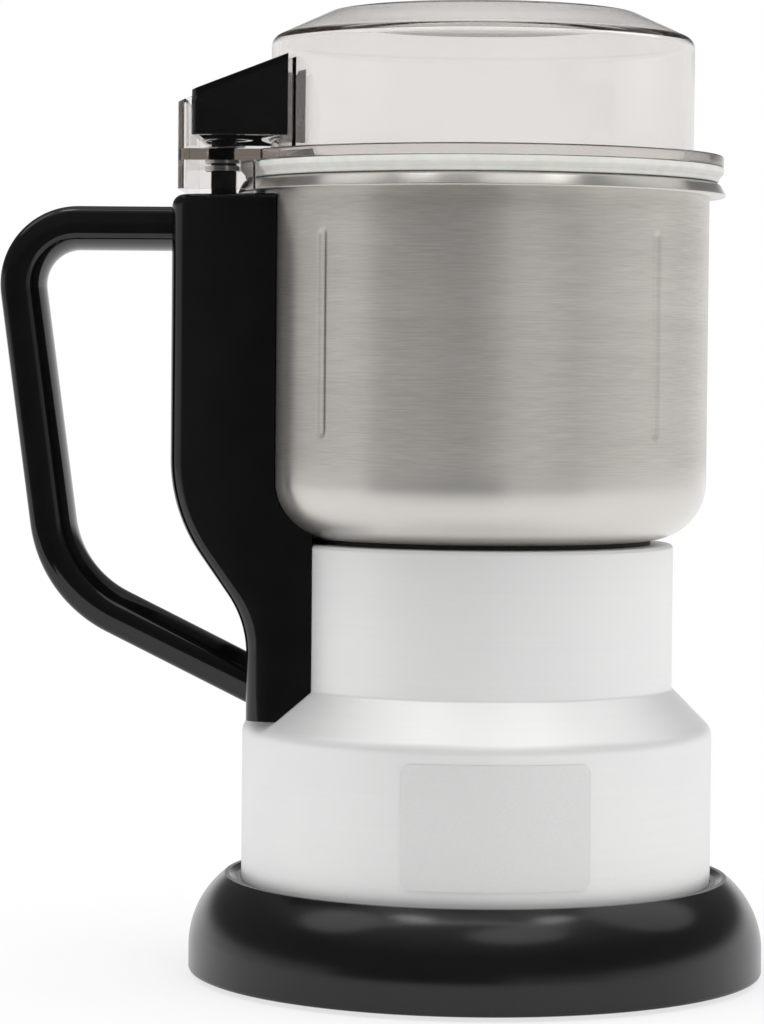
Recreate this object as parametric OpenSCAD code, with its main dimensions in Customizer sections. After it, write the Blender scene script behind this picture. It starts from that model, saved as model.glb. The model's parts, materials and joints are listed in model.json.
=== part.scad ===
// Electric coffee grinder: foot, spun body with motor, steel bowl, clear lid with a start button, handle.
// Millimetres, Z up. The origin lies on the table under the motor axis.
// The handle points to -X, the front is -Y.

/* [Foot] */
// How far the foot stands out from the body
foot_flare = 13.1; // [12:0.1:18]
// Height of the foot's top edge above the table
foot_h = 25; // [23:0.5:30]
// Radius of the foot's rounded flank
flank_r = 22.6; // [21:0.2:24]
// Width of the foot's flat top
foot_ledge = 1.1; // [0.6:0.1:2]
// Wall of the foot
foot_wall = 2.6; // [2:0.1:3.2]
// Gap between the foot's lower edge and the table
foot_lift = 1; // [0.6:0.1:1.6]
// Width of the flat lip round the foot's opening
foot_lip = 1.3; // [0.8:0.1:1.8]
// Depth of the step inside the lip
foot_step = 0.8; // [0.4:0.1:1.2]
// Thickness of the bottom cover
cover_t = 3; // [2.6:0.1:4]
// Height of the bottom cover above the table
cover_lift = 2; // [1.6:0.1:2.4]
// Distance of the rubber ring inside the body's radius
pad_inset = 2.8; // [2:0.1:6]
// Width of the rubber ring
pad_w = 8; // [6:0.5:12]
// Depth of the rubber ring's groove in the cover
pad_groove = 1; // [0.6:0.1:1.4]
// Height of the shelf that carries the body shell
shelf_h = 7; // [5:0.5:9]

/* [Cord inlet] */
// Radius of the hole for the cord
inlet_bore_r = 3.6; // [3:0.1:4]
// Outer radius of the inlet bush
inlet_r = 5.4; // [5:0.1:5.8]

/* [Body] */
// Radius of the body's lower cylinder
body_r = 58.8; // [57.5:0.1:59.5]
// Height of the lower cylinder above the foot
body_h = 37.3; // [34:0.1:44]
// Radius of the rounded edge below the shoulder
shoulder_r = 4.5; // [2.5:0.5:6]
// Height of the sloping shoulder
shoulder_h = 10.2; // [8:0.1:13]
// Radius of the neck
neck_r = 48.7; // [47.5:0.1:50]
// Height of the neck
neck_h = 35.9; // [35:0.1:44]
// Sheet thickness of the body
body_wall = 1.2; // [0.8:0.1:1.6]
// Label width
label_w = 45; // [30:1:55]
// Label height
label_h = 30; // [20:1:31]
// Label corner radius
label_corner = 2.5; // [1:0.5:5]
// Label thickness
label_t = 0.3; // [0.2:0.05:0.5]
// Angle of the label's centre, to the right of the front
label_turn = 5; // [0:1:20]

/* [Bowl] */
// Outer radius of the bowl
bowl_r = 56.7; // [55.5:0.1:58]
// Height of the bowl from its floor to its rim
bowl_h = 88.5; // [80:0.5:100]
// Sheet thickness of the bowl
bowl_wall = 1; // [0.8:0.1:1.4]
// Radius of the bowl's lower edge
bowl_corner = 14.5; // [12:0.5:17]
// How far the rolled rim stands out from the bowl
rim_out = 4.1; // [3.4:0.1:5]
// Drop of the rim's outer edge
rim_drop = 3.1; // [2.4:0.1:3.4]
// Thickness of the seat ring under the bowl
seat_t = 1.1; // [0.8:0.1:1.6]
// Height of the pressed ribs
rib_h = 51; // [40:1:56]
// Lower end of the ribs above the bowl's floor
rib_z = 25; // [22:0.5:28]
// Radius of the groove of a rib
rib_r = 1.4; // [1.2:0.1:2.6]
// Depth of a rib
rib_d = 0.4; // [0.3:0.1:1]
// Turn of the ribs away from the diagonals
rib_turn = 3; // [0:1:10]

/* [Lid] */
// Height of the lid seal
seal_h = 4; // [3.4:0.1:5]
// How far the lid's flange and seal stay inside the rim
flange_inset = 0.6; // [0.2:0.1:1.6]
// Thickness of the lid's flange
flange_t = 2.8; // [2.2:0.1:3.4]
// Gap between the lid's wall and the bowl's inside
lid_gap = 3; // [2.2:0.1:4.6]
// Height of the lid above the seal
lid_h = 38; // [36:0.5:46]
// Thickness of the lid's wall
lid_wall = 2; // [1.6:0.1:2.4]
// Width of the lid's bevel
bevel_w = 14.7; // [10:0.1:22]
// Rise of the lid's bevel
lid_bevel = 5.6; // [4:0.1:7]
// Radius of the lid's shoulder
lid_shoulder = 3; // [2.4:0.1:4]
// Depth of the lid's spigot in the bowl
spigot_h = 5; // [3:0.5:8]
// Width of the button box
box_w = 54; // [50:0.2:56]
// Wall of the button box
box_wall = 1.8; // [1.4:0.1:2.2]
// Depth of the box below the flange
box_skirt = 7; // [5:0.1:7.2]
// Height of the box's outer end above the flange's lower face
box_h = 14; // [13:0.1:16]
// Slope of the box's top edge
box_slope = 21; // [16:0.5:22]

/* [Start button] */
// Travel of the button
button_travel = 3; // [2:0.1:3.2]
// Height of the button's top above the box's edge
button_proud = 1.9; // [1:0.1:3]
// Wall of the button
button_wall = 1.8; // [1.4:0.1:2.4]
// Gap between the button and the box's end wall
button_gap = 1.4; // [0.8:0.1:2]
// Side of the square stem
stem_w = 6.2; // [5.4:0.1:6.6]
// Wire diameter of the button spring
spring_wire = 0.7; // [0.6:0.1:0.8]
// Length of the button spring
spring_len = 11; // [9:0.5:12]

/* [Handle] */
// Depth of the handle column outside the bowl
column_depth = 19.4; // [18.5:0.1:22]
// Depth of the column's lower end outside the neck
column_low_depth = 8; // [7.4:0.1:10]
// Half width of the column where it meets the bowl
column_half = 27.3; // [26:0.1:30]
// Half width of the column's outer face
column_face_half = 19.5; // [18:0.1:21]
// Radius of the column's long edges
column_edge = 5; // [3.5:0.5:6]
// Drop of the column's top below the bowl's rim
column_drop = 4; // [3.8:0.1:6]
// Wall of the column
column_wall = 2.6; // [2:0.1:3]
// Steepest angle of the column's S-bend
bend_a = 36; // [32:1:38]
// Upper radius of the S-bend
bend_r1 = 40; // [34:1:44]
// Lower radius of the S-bend
bend_r2 = 25; // [20:1:30]
// Start of the S-bend above the neck's top
bend_z = 20.6; // [18:0.1:24]
// Thickness of the handle loop
grip_t = 10.8; // [10:0.2:13]
// Width of the handle loop
grip_w = 20; // [16:0.5:24]
// Edge radius of the handle loop
grip_edge = 2.5; // [1.5:0.5:3.5]
// Rise of the loop's rounded inner face
grip_crown = 3.4; // [2:0.1:4]
// Drop of the loop's upper bar below the column's top
grip_drop = 8.1; // [6.8:0.1:9]
// Reach of the loop's upper corner from the column
grip_reach = 40; // [36:0.5:50]
// Reach of the loop's lower corner from the column
grip_low_reach = 28.2; // [24:0.2:36]
// Height of the loop's lower corner above the neck's foot
grip_low_z = 24.7; // [20:0.5:30]
// Centre line radius of the upper corner
grip_r1 = 14; // [12:0.5:18]
// Centre line radius of the lower corner
grip_r2 = 29.4; // [24:0.2:34]

/* [Motor] */
// Radius of the motor shaft
shaft_r = 4; // [3.5:0.1:4.5]
// Outer radius of the field core
core_r = 37; // [35.5:0.5:38.5]
// Height of the field core
core_h = 28; // [22:0.5:30]
// Radius of the armature
rotor_r = 18.9; // [17:0.1:19.5]
// Gap between armature and field core
air_gap = 0.5; // [0.4:0.05:0.8]
// Length of the windings outside the cores
wind_h = 6; // [4:0.5:7]
// Radius of the commutator
comm_r = 11; // [9:0.5:12]
// Height of the commutator
comm_h = 12; // [11.5:0.5:14]
// Radius of the cooling fan
fan_r = 27; // [22:0.5:28]
// Height of the cooling fan
fan_h = 7; // [5:0.5:8]
// Number of fan blades
fan_count = 10; // [6:1:14]
// Thickness of the motor brackets
bracket_t = 4; // [3:0.5:5]
// Radius of the motor brackets
bracket_r = 40; // [39.5:0.5:42]
// Outer radius of the shaft bushes
bush_r = 8; // [7:0.5:9]
// Height of the shaft bushes
bush_h = 9; // [8:0.5:10]
// Side of a carbon brush
brush_w = 6; // [5:0.5:6.5]
// Length of a carbon brush
brush_len = 13; // [10:0.5:14]

/* [Blades] */
// Half length of the blades
blade_half = 42; // [36:0.5:44]
// Width of the blades
blade_w = 12; // [10:0.5:14]
// Thickness of the blades
blade_t = 1.6; // [1.2:0.1:2]
// Height of the lower blade above the bowl's floor
blade_lift = 7.5; // [6.5:0.1:12]
// Angle by which the upper blade's arms rise
upper_bend = 24; // [10:1:30]
// Angle by which the lower blade's arms drop
lower_bend = 8; // [0:1:10]

/* [Clearances] */
// Gap between fixed neighbours
fit_gap = 0.15; // [0.1:0.05:0.2]
// Gap between pieces that slide past each other
slide_gap = 0.35; // [0.3:0.05:0.4]
// Radial running clearance of the shaft
run_gap = 0.04; // [0.02:0.01:0.06]
// Gap between a piece and its rest
rest_gap = 0.3; // [0.2:0.05:0.4]

/* [Hidden] */
$fn = 64;
eps = 0.01;
far = 200;

// Heights, from the table up
cover_top = cover_lift + cover_t;
shell_z = cover_top + shelf_h;
corner_z = foot_h + body_h;
neck_z = corner_z + shoulder_h;
neck_top = neck_z + neck_h;
bowl_z = neck_top + seat_t;
floor_z = bowl_z + bowl_wall;
rim_z = bowl_z + bowl_h;
flange_z = rim_z + seal_h;
flange_top = flange_z + flange_t;
lid_top = flange_z + lid_h;

// Foot
foot_r = body_r + foot_flare;
opening_r = body_r + fit_gap;
lip_bevel = 1.6;
flank_run = foot_r - opening_r - foot_lip - lip_bevel - foot_ledge;
flank_z = foot_h - sqrt(flank_r * flank_r - (flank_r - flank_run) * (flank_r - flank_run));
flank_x = foot_r - flank_r;
web_t = 3.5;
boss_r = 3.4;
boss_inset = 4.3;
boss_x = foot_r - foot_wall - boss_inset;
boss_top = flank_z + 10;
boss_end = 2;
pad_r = body_r - pad_inset;
cover_screw_r = 1.8;
cover_head_r = 3;
cover_head_t = 1;
cover_sink = 1.2;
shelf_lip = 4;
shelf_out = 1;
shelf_rise = 4;
vent_in = 12;
vent_out = 22;
vent_w = 3;
vent_count = 10;

// Cord inlet
inlet_z = cover_top + inlet_r + 2 * rest_gap;
inlet_flange_r = inlet_r + 1.6;
inlet_flange_t = 2;
inlet_seat = foot_r - 0.9;
inlet_tail = 9;
notch_w = 2 * inlet_bore_r + 2;

// Body
cone_a = atan2(body_r - neck_r, shoulder_h);
cone_k = tan(cone_a / 2);
top_hole_r = 20;
seat_r = neck_r - 5.7;
seat_inset = 6;
label_z = foot_h + (body_h - label_h) / 2 - 0.2;

// Motor, hung under the top of the neck
hang_h = 3;
upper_z = neck_top - body_wall - hang_h - bracket_t;
upper_bush_z = upper_z - 3;
fan_z = upper_bush_z - 1 - fan_h;
core_top = fan_z - 1.2 - wind_h;
core_z = core_top - core_h;
comm_z = core_z - wind_h - 1 - comm_h;
lower_top = comm_z - 4;
lower_z = lower_top - bracket_t;
lower_bush_z = comm_z - 1 - bush_h;
shaft_z = lower_bush_z - 2;
bush_wall = 4;
yoke = 8;
pole_w = 9;
pole_t = 4.6;
pole_a = 60;
coil_a = 52;
bolt_r = 2;
bolt_hole = bolt_r + fit_gap;
bolt_head = 3.6;
bolt_head_t = 2.8;
post_r = 4;
bolt_x = core_r - post_r;
damper_x = 30;
damper_r = 6;
damper_h = 8;
brush_z = comm_z + comm_h / 2;
holder_t = 1.6;
holder_in = comm_r + 2;
holder_out = core_r - 3;
spring_turns = 6;

// Bowl and lid
rim_r = bowl_r + rim_out;
flange_r = rim_r - flange_inset;
lid_r = bowl_r - bowl_wall - lid_gap;
lid_flat_r = lid_r - bevel_w;
shoulder_a = 65;
rib_end = 2.5;

// Bowl floor stack
bowl_screw_x = 34;
bowl_screw_r = 1.95;
bowl_head_r = 3.7;
bowl_head_t = 2.2;
shaft_seal_r = 9;
blade_z = floor_z + blade_lift;
tip_r = shaft_r - 1;
nut_h = 5;
nut_r = 6;
blade_turn = 20;
seal_lip = 1.5;

// Handle column
column_x = bowl_r + column_depth;
column_low_x = neck_r + column_low_depth;
column_top = rim_z - column_drop;
column_bottom = corner_z + 2.8;
column_in = 36;
column_side_x = bowl_r - 6.2;
side_slope = (column_half - column_face_half) / (column_x - column_side_x);
side_a = atan(side_slope);
bend_top = neck_top + bend_z;
bend_run = column_x - column_low_x;
bend_mid = (bend_run - (bend_r1 + bend_r2) * (1 - cos(bend_a))) / sin(bend_a);
bend_low = bend_top - (bend_r1 + bend_r2) * sin(bend_a) - bend_mid * cos(bend_a);
column_crown = 3;
roof_t = 4;
cut_over = 5;

// Handle loop: centre line corners in the X-Z plane
grip_z = column_top - grip_drop;
grip_path = [
    [-column_x + column_wall, grip_z],
    [-column_x - grip_reach, grip_z],
    [-column_x - grip_low_reach, neck_z + grip_low_z],
    [-column_low_x + 0.5, neck_z + 0.9]];
grip_bends = [0, grip_r1, grip_r2, 0];
grip_screw_r = 1.9;
grip_head_r = 3;
grip_head_t = 2.3;
grip_low_screw_z = neck_z + 1.5;
grip_screw_len = 15;
grip_low_screw_len = 8;

// Screws between neck and column
neck_screw_z = [neck_z + 10.5, neck_z + 21];
neck_screw_r = 1.9;
neck_boss_r = 4;
neck_head_t = 2.3;
neck_screw_len = 6;

// Start button and switch
box_x = column_x - 2;
box_in = lid_r - 20;
box_corner = 3;
stem_x = column_x - 11.7;
stem_tip = column_top - 3.8;
stem_hole = stem_w + 2 * slide_gap;
button_x = box_x - box_wall - button_gap;
button_w = box_w - 2 * box_wall - 1;
button_z = flange_top + button_travel + 0.4;
button_corner = 2;
spring_r = stem_w / sqrt(2) + spring_wire / 2 + 0.2;
pocket_r = spring_r + 0.6;
pocket_top = flange_top + spring_len + 2 * rest_gap;
button_boss_r = pocket_r + 1.6;
clip_t = 1.2;
clip_r = 5.2;
clip_flat = stem_x - flange_r - rest_gap;
plunger_r = 1.6;
plunger_top = stem_tip - rest_gap;
switch_top = plunger_top - 4.9;
switch_h = 20;
switch_z = switch_top - switch_h;
switch_d = 11;
switch_w = 20;
switch_x = stem_x + 5.5;
plunger_len = 12;
switch_screw_r = 1.25;
switch_head_r = 2.4;
switch_head_t = 1.6;
switch_screw_y = 7;
switch_screw_z = switch_z + 4;
pad_back = 0.4;

// Wires from the switch to the brush holder
wire_r = 1.2;
wire_y = 4;
wire_x = switch_x - switch_d + 2;
wire_z = neck_top - 8.4;
wire_in = (bracket_r + neck_r - body_wall) / 2;
wire_bend = 6;
wire_turn = 3;
wire_path = [
    [-wire_x, switch_z],
    [-wire_x, wire_z],
    [-wire_in, wire_z],
    [-wire_in, brush_z],
    [-holder_out - rest_gap, brush_z]];
wire_bends = [0, wire_bend, wire_turn, wire_turn, 0];

// Electrics on the bottom cover
terminal_size = [18, 10, 10];
terminal_y = 36;
capacitor_size = [22, 9, 14];
capacitor_y = -46;

// Points of an arc
function arc(cx, cy, r, a0, a1, n) =
    [for (i = [0:n]) let (a = a0 + (a1 - a0) * i / n) [cx + r * cos(a), cy + r * sin(a)]];
function back(list) = [for (i = [len(list) - 1:-1:0]) list[i]];
function flip(list) = [for (p = back(list)) [p[0], -p[1]]];

// Profile of the body's outside, moved outwards by off
function body_line(off, top) = concat(
    [[body_r + off, shell_z]],
    arc(body_r - shoulder_r, corner_z - shoulder_r * cone_k, shoulder_r + off, 0, cone_a, 8),
    [[neck_r + off, neck_z + cone_k * off], [neck_r + off, top]]);

// Profile of the foot's flank, moved inwards by off, up to a height
function foot_line(off, top) = concat(
    [[foot_r - off, foot_lift]],
    arc(flank_x, flank_z, flank_r - off, 0, asin((top - flank_z) / (flank_r - off)), 10));

// Profile of a pot with a rounded lower edge, from its axis to its rim
function pot_line(r, z0, z1, rc) = concat([[0, z0]], arc(r - rc, z0 + rc, rc, -90, 0, 10), [[r, z1]]);

module ring(r_out, r_in, z0, z1) {
    translate([0, 0, z0]) difference() {
        cylinder(r = r_out, h = z1 - z0);
        translate([0, 0, -1]) cylinder(r = r_in, h = z1 - z0 + 2);
    }
}

module rod(r, z0, z1) {
    translate([0, 0, z0]) cylinder(r = r, h = z1 - z0);
}

// A rod along X
module rod_x(r, x0, x1, y, z) {
    translate([x0, y, z]) rotate([0, 90, 0]) cylinder(r = r, h = x1 - x0);
}

// A block from its lower to its higher corner
module block(a, b) {
    translate(a) cube(b - a);
}

module quarters(x, start) {
    for (i = [0:3]) rotate([0, 0, start + 90 * i]) translate([x, 0, 0]) children();
}

// Extrudes an X-Z outline across Y
module across(half) {
    rotate([90, 0, 0]) translate([0, 0, -half]) linear_extrude(2 * half) children();
}

function heading(a, b) = atan2(b[1] - a[1], b[0] - a[0]);
function turn_at(path, i) =
    let (t = heading(path[i], path[i + 1]) - heading(path[i - 1], path[i]))
        t > 180 ? t - 360 : t < -180 ? t + 360 : t;
function cut_at(path, bends, i) = bends[i] == 0 ? 0 : bends[i] * tan(abs(turn_at(path, i)) / 2);

// Points and headings along a path in the X-Z plane, with its corners rounded
function stations(path, bends, n) = concat(
    [[path[0], heading(path[0], path[1])]],
    [for (i = [1:len(path) - 2])
        let (t = turn_at(path, i), h = heading(path[i - 1], path[i]), side = t > 0 ? 90 : -90, r = bends[i],
            centre = path[i] - cut_at(path, bends, i) * [cos(h), sin(h)] + r * [cos(h + side), sin(h + side)])
        for (k = [0:n]) let (q = h + t * k / n) [centre - r * [cos(q + side), sin(q + side)], q]],
    [[path[len(path) - 1], heading(path[len(path) - 2], path[len(path) - 1])]]);

// Faces of a tube of rings, closed at both ends
function skin(rings, sides) = concat(
    [[for (j = [sides - 1:-1:0]) j]],
    [for (i = [0:rings - 2]) for (j = [0:sides - 1]) let (k = (j + 1) % sides, p = i * sides)
        [p + j, p + k, p + sides + k, p + sides + j]],
    [[for (j = [0:sides - 1]) (rings - 1) * sides + j]]);

// One bar with a section, given as points, along a rounded path in the X-Z plane
module bar(path, bends, section, n) {
    line = stations(path, bends, n);
    points = [for (q = line) for (p = section)
        [q[0][0] - p[0] * sin(q[1]), p[1], q[0][1] + p[0] * cos(q[1])]];
    polyhedron(points = points, faces = skin(len(line), len(section)), convexity = 6);
}

// Coil spring as one tube along Z from 0 to its length
module coil_spring(r, wire, turns, length) {
    steps = 12 * turns;
    sides = 6;
    rise = length - wire;
    points = [for (i = [0:steps]) let (a = 360 * turns * i / steps) for (j = [0:sides - 1])
        let (b = 360 * j / sides, q = r + wire / 2 * cos(b))
        [q * cos(a), q * sin(a), wire / 2 + rise * i / steps + wire / 2 * sin(b)]];
    polyhedron(points = points, faces = skin(steps + 1, sides), convexity = turns);
}

// Pan head screw along Z: head from 0 up, shank down
module screw(r, length, head_r, head_t) {
    rotate_extrude() polygon([[0, -length], [r, -length], [r, 0], [head_r, 0], [head_r, head_t * 0.6],
        [head_r * 0.75, head_t], [0, head_t]]);
}

module foot_skirt() {
    color([0.07, 0.07, 0.07]) difference() {
        union() {
            rotate_extrude() polygon(concat(
                foot_line(0, foot_h),
                [[opening_r + foot_lip + lip_bevel, foot_h], [opening_r + foot_lip, foot_h - foot_step],
                    [opening_r, foot_h - foot_step], [opening_r, foot_h - web_t]],
                back(foot_line(foot_wall, foot_h - web_t))));
            quarters(boss_x, 45) rod(boss_r, cover_top, boss_top);
        }
        quarters(boss_x, 45) rod(cover_screw_r + fit_gap, cover_top - 1, boss_top - boss_end);
        translate([0, 0, inlet_z]) rotate([-90, 0, 0]) {
            rod(inlet_r + fit_gap, inlet_seat - inlet_tail, foot_r + 1);
            rod(inlet_flange_r + fit_gap, inlet_seat, foot_r + 5);
        }
    }
}

module bottom_cover() {
    shelf_in = body_r - shelf_lip;
    color([0.1, 0.1, 0.1]) difference() {
        union() {
            rod(foot_r - foot_wall - slide_gap, cover_lift, cover_top);
            ring(body_r + shelf_out, shelf_in, cover_top - eps, shell_z);
            ring(body_r - body_wall - fit_gap, shelf_in, shell_z - eps, shell_z + shelf_rise);
            quarters(damper_x, 45) rod(damper_r - 1, cover_top - eps, lower_z - damper_h);
        }
        ring(pad_r + fit_gap, pad_r - pad_w - fit_gap, cover_lift - 1, cover_lift + pad_groove);
        quarters(boss_x, 45) {
            rod(cover_screw_r + fit_gap, cover_lift - 1, cover_top + 1);
            rod(cover_head_r + fit_gap, cover_lift - 1, cover_lift + cover_sink);
        }
        for (i = [0:vent_count - 1]) rotate([0, 0, 360 / vent_count * (i + 0.5)])
            block([vent_in, -vent_w / 2, cover_lift - 1], [vent_out, vent_w / 2, cover_top + 1]);
        block([-notch_w / 2, shelf_in - 1, cover_top],
            [notch_w / 2, body_r + shelf_out + 1, shell_z + shelf_rise + 1]);
    }
}

module foot_ring() {
    color([0.16, 0.16, 0.16]) ring(pad_r, pad_r - pad_w, 0, cover_lift + pad_groove);
}

module cover_screws() {
    color([0.7, 0.7, 0.72]) quarters(boss_x, 45) translate([0, 0, cover_lift + cover_sink])
        rotate([180, 0, 0])
            screw(cover_screw_r, boss_top - boss_end - cover_lift - cover_sink - rest_gap,
                cover_head_r, cover_head_t);
}

module cord_inlet() {
    color([0.05, 0.05, 0.05]) translate([0, 0, inlet_z]) rotate([-90, 0, 0]) difference() {
        union() {
            rod(inlet_flange_r, inlet_seat, inlet_seat + inlet_flange_t);
            rod(inlet_r, inlet_seat - inlet_tail, inlet_seat + eps);
        }
        rod(inlet_bore_r, inlet_seat - inlet_tail - 1, inlet_seat + inlet_flange_t + 1);
    }
}

module terminal_block() {
    s = terminal_size;
    color([0.85, 0.84, 0.8]) difference() {
        block([-s[0] / 2, terminal_y, cover_top], [s[0] / 2, terminal_y + s[1], cover_top + s[2]]);
        for (x = [-s[0] / 4, s[0] / 4]) {
            translate([x, terminal_y - 1, cover_top + s[2] / 2]) rotate([-90, 0, 0]) rod(1.6, 0, s[1] + 2);
            translate([x, terminal_y + s[1] / 2, 0]) rod(1.4, cover_top + s[2] / 2, cover_top + s[2] + 1);
        }
    }
}

module capacitor() {
    s = capacitor_size;
    color([0.8, 0.65, 0.15])
        block([-s[0] / 2, capacitor_y, cover_top], [s[0] / 2, capacitor_y + s[1], cover_top + s[2]]);
}

module body_shell() {
    color([0.9, 0.9, 0.91]) difference() {
        rotate_extrude() polygon(concat(
            body_line(0, neck_top),
            [[top_hole_r, neck_top], [top_hole_r, neck_top - body_wall]],
            back(body_line(-body_wall, neck_top - body_wall))));
        quarters(bowl_screw_x, 45) rod(bowl_screw_r + fit_gap, neck_top - body_wall - 1, neck_top + 1);
        for (z = neck_screw_z) rod_x(neck_screw_r + fit_gap, -neck_r - 2, -neck_r + 4, 0, z);
        for (y = [-wire_y, wire_y]) rod_x(wire_r + slide_gap, -neck_r - 2, -neck_r + 4, y, wire_z);
    }
}

module blank_label() {
    color([0.8, 0.81, 0.82]) rotate([0, 0, label_turn]) intersection() {
        ring(body_r + 0.03 + label_t, body_r + 0.03, label_z - 1, label_z + label_h + 1);
        translate([0, 0, label_z + label_h / 2]) rotate([90, 0, 0]) linear_extrude(far)
            polygon(rounded_box(label_w, label_h, label_corner, 4));
    }
}

module bowl_seat() {
    color([0.05, 0.05, 0.05]) difference() {
        ring(seat_r, bowl_screw_x - seat_inset, neck_top, bowl_z);
        quarters(bowl_screw_x, 45) rod(bowl_screw_r + fit_gap, neck_top - 1, bowl_z + 1);
    }
}

module rib_rod(r) {
    z0 = bowl_z + rib_z;
    quarters(bowl_r + rib_r - rib_d, 45 + rib_turn) rotate_extrude()
        polygon([[0, z0], [r, z0 + rib_end], [r, z0 + rib_h - rib_end], [0, z0 + rib_h]]);
}

module bowl() {
    wall_top = rim_z - 1.1;
    inside = bowl_r - bowl_wall;
    color([0.66, 0.65, 0.63]) difference() {
        union() {
            rotate_extrude() polygon(concat(
                pot_line(bowl_r, bowl_z, wall_top, bowl_corner),
                [[bowl_r + 2, wall_top], [rim_r - 0.5, rim_z - rim_drop - 0.3], [rim_r, rim_z - rim_drop + 0.2],
                    [bowl_r + 2.6, rim_z], [inside + 0.4, rim_z], [inside, rim_z - 0.5]],
                back(pot_line(inside, floor_z, rim_z - 1, bowl_corner - bowl_wall))));
            intersection() {
                rib_rod(rib_r + bowl_wall);
                rod(bowl_r - bowl_wall / 2, bowl_z, rim_z);
            }
        }
        rib_rod(rib_r);
        rod(shaft_seal_r + fit_gap, bowl_z - 1, floor_z + 1);
        quarters(bowl_screw_x, 45) rod(bowl_screw_r + fit_gap, bowl_z - 1, floor_z + 1);
    }
}

module bowl_screws() {
    color([0.75, 0.75, 0.77]) quarters(bowl_screw_x, 45) translate([0, 0, floor_z])
        screw(bowl_screw_r, floor_z - upper_z - 1, bowl_head_r, bowl_head_t);
}

module shaft_seal() {
    color([0.12, 0.12, 0.12]) difference() {
        union() {
            rod(shaft_seal_r, bowl_z - 1, floor_z + eps);
            rod(shaft_seal_r + 2.5, floor_z, floor_z + seal_lip);
        }
        rod(shaft_r + run_gap, bowl_z - 2, floor_z + seal_lip + 1);
    }
}

// The column's top and upper edge, outside and, with off over 0, inside
function column_roof(off) = column_top - (off > 0 ? roof_t : 0);
function column_round(off) = off > 0 ? column_crown / 6 : column_crown;

// Side view of the column, moved inwards by off
function column_side(off) = concat(
    [[-column_in, column_roof(off)]],
    arc(-column_x + off + column_round(off), column_roof(off) - column_round(off),
        column_round(off), 90, 180, 4),
    arc(-column_x + bend_r1, bend_top, bend_r1 - off, 180, 180 + bend_a, 8),
    arc(-column_low_x - bend_r2, bend_low, bend_r2 + off, bend_a, 0, 6),
    [[-column_low_x + off, column_bottom + off], [-column_in, column_bottom + off]]);

// Top view of the column, moved inwards by off
function column_plan_half(off) = concat(
    [[-column_in, column_half - off / cos(side_a)], [-column_side_x, column_half - off / cos(side_a)]],
    arc(-column_x + column_edge, column_face_half + column_edge * (side_slope - 1 / cos(side_a)),
        column_edge - off, 90 + side_a, 180, 5));

module column_block(off) {
    intersection() {
        across(column_half + cut_over) polygon(column_side(off));
        translate([0, 0, column_bottom - cut_over]) linear_extrude(column_top - column_bottom + 2 * cut_over)
            polygon(concat(column_plan_half(off), flip(column_plan_half(off))));
    }
}

module handle_column() {
    color([0.07, 0.07, 0.07]) difference() {
        union() {
            difference() {
                column_block(0);
                column_block(column_wall);
            }
            intersection() {
                column_block(column_wall / 2);
                union() {
                    for (z = neck_screw_z) rod_x(neck_boss_r, -column_x, -neck_r + 5, 0, z);
                    block([-column_x, -switch_w / 2 - 1, switch_z - 2],
                        [-switch_x - pad_back, switch_w / 2 + 1, switch_top - 2.5]);
                }
            }
        }
        rotate_extrude() polygon(concat(
            pot_line(bowl_r + fit_gap, bowl_z - fit_gap, rim_z + 5, bowl_corner + fit_gap), [[0, rim_z + 5]]));
        rotate_extrude() polygon(concat(
            [[0, shell_z]], body_line(fit_gap, neck_top + fit_gap), [[0, neck_top + fit_gap]]));
        block([-stem_x - stem_hole / 2, -stem_hole / 2, column_top - roof_t - 1],
            [-stem_x + stem_hole / 2, stem_hole / 2, column_top + 1]);
        for (z = neck_screw_z) rod_x(neck_screw_r + fit_gap, -neck_r - neck_screw_len, -neck_r + 5, 0, z);
        for (y = [-switch_screw_y, switch_screw_y])
            rod_x(switch_screw_r + fit_gap, -column_x + column_wall / 2, -switch_x + 5, y, switch_screw_z);
        rod_x(grip_screw_r + fit_gap, -column_x - 1, -column_x + column_wall + 2, 0, grip_z);
        rod_x(grip_screw_r + fit_gap, -column_low_x - 3, -column_low_x + column_wall + 2, 0, grip_low_screw_z);
    }
}

function rounded_box(w, h, e, n) = concat(
    arc(w / 2 - e, h / 2 - e, e, 0, 90, n),
    arc(e - w / 2, h / 2 - e, e, 90, 180, n),
    arc(e - w / 2, e - h / 2, e, 180, 270, n),
    arc(w / 2 - e, e - h / 2, e, 270, 360, n));

// Section of the loop: a rounded outer side and a crowned inner side
function grip_section() = let (
    w = grip_w / 2,
    t = grip_t / 2,
    r = (w * w + grip_crown * grip_crown) / (2 * grip_crown),
    a = asin(w / r)) concat(
        arc(t - r, 0, r, -a, a, 10),
        arc(grip_edge - t, w - grip_edge, grip_edge, 90, 180, 4),
        arc(grip_edge - t, grip_edge - w, grip_edge, 180, 270, 4));

module handle_grip() {
    color([0.07, 0.07, 0.07]) difference() {
        bar(grip_path, grip_bends, grip_section(), 12);
        column_block(0);
        rotate_extrude() polygon(concat(
            [[0, shell_z]], body_line(1, neck_top), [[0, neck_top]]));
        rod_x(grip_screw_r + fit_gap, -column_x - grip_screw_len, -column_x + 5, 0, grip_z);
        rod_x(grip_screw_r + fit_gap, -column_low_x - grip_low_screw_len, -column_low_x + 5,
            0, grip_low_screw_z);
    }
}

module neck_screws() {
    color([0.7, 0.7, 0.72]) for (z = neck_screw_z)
        translate([-neck_r + body_wall + 0.2, 0, z]) rotate([0, 90, 0])
            screw(neck_screw_r, neck_screw_len, 3.2, neck_head_t);
}

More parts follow.
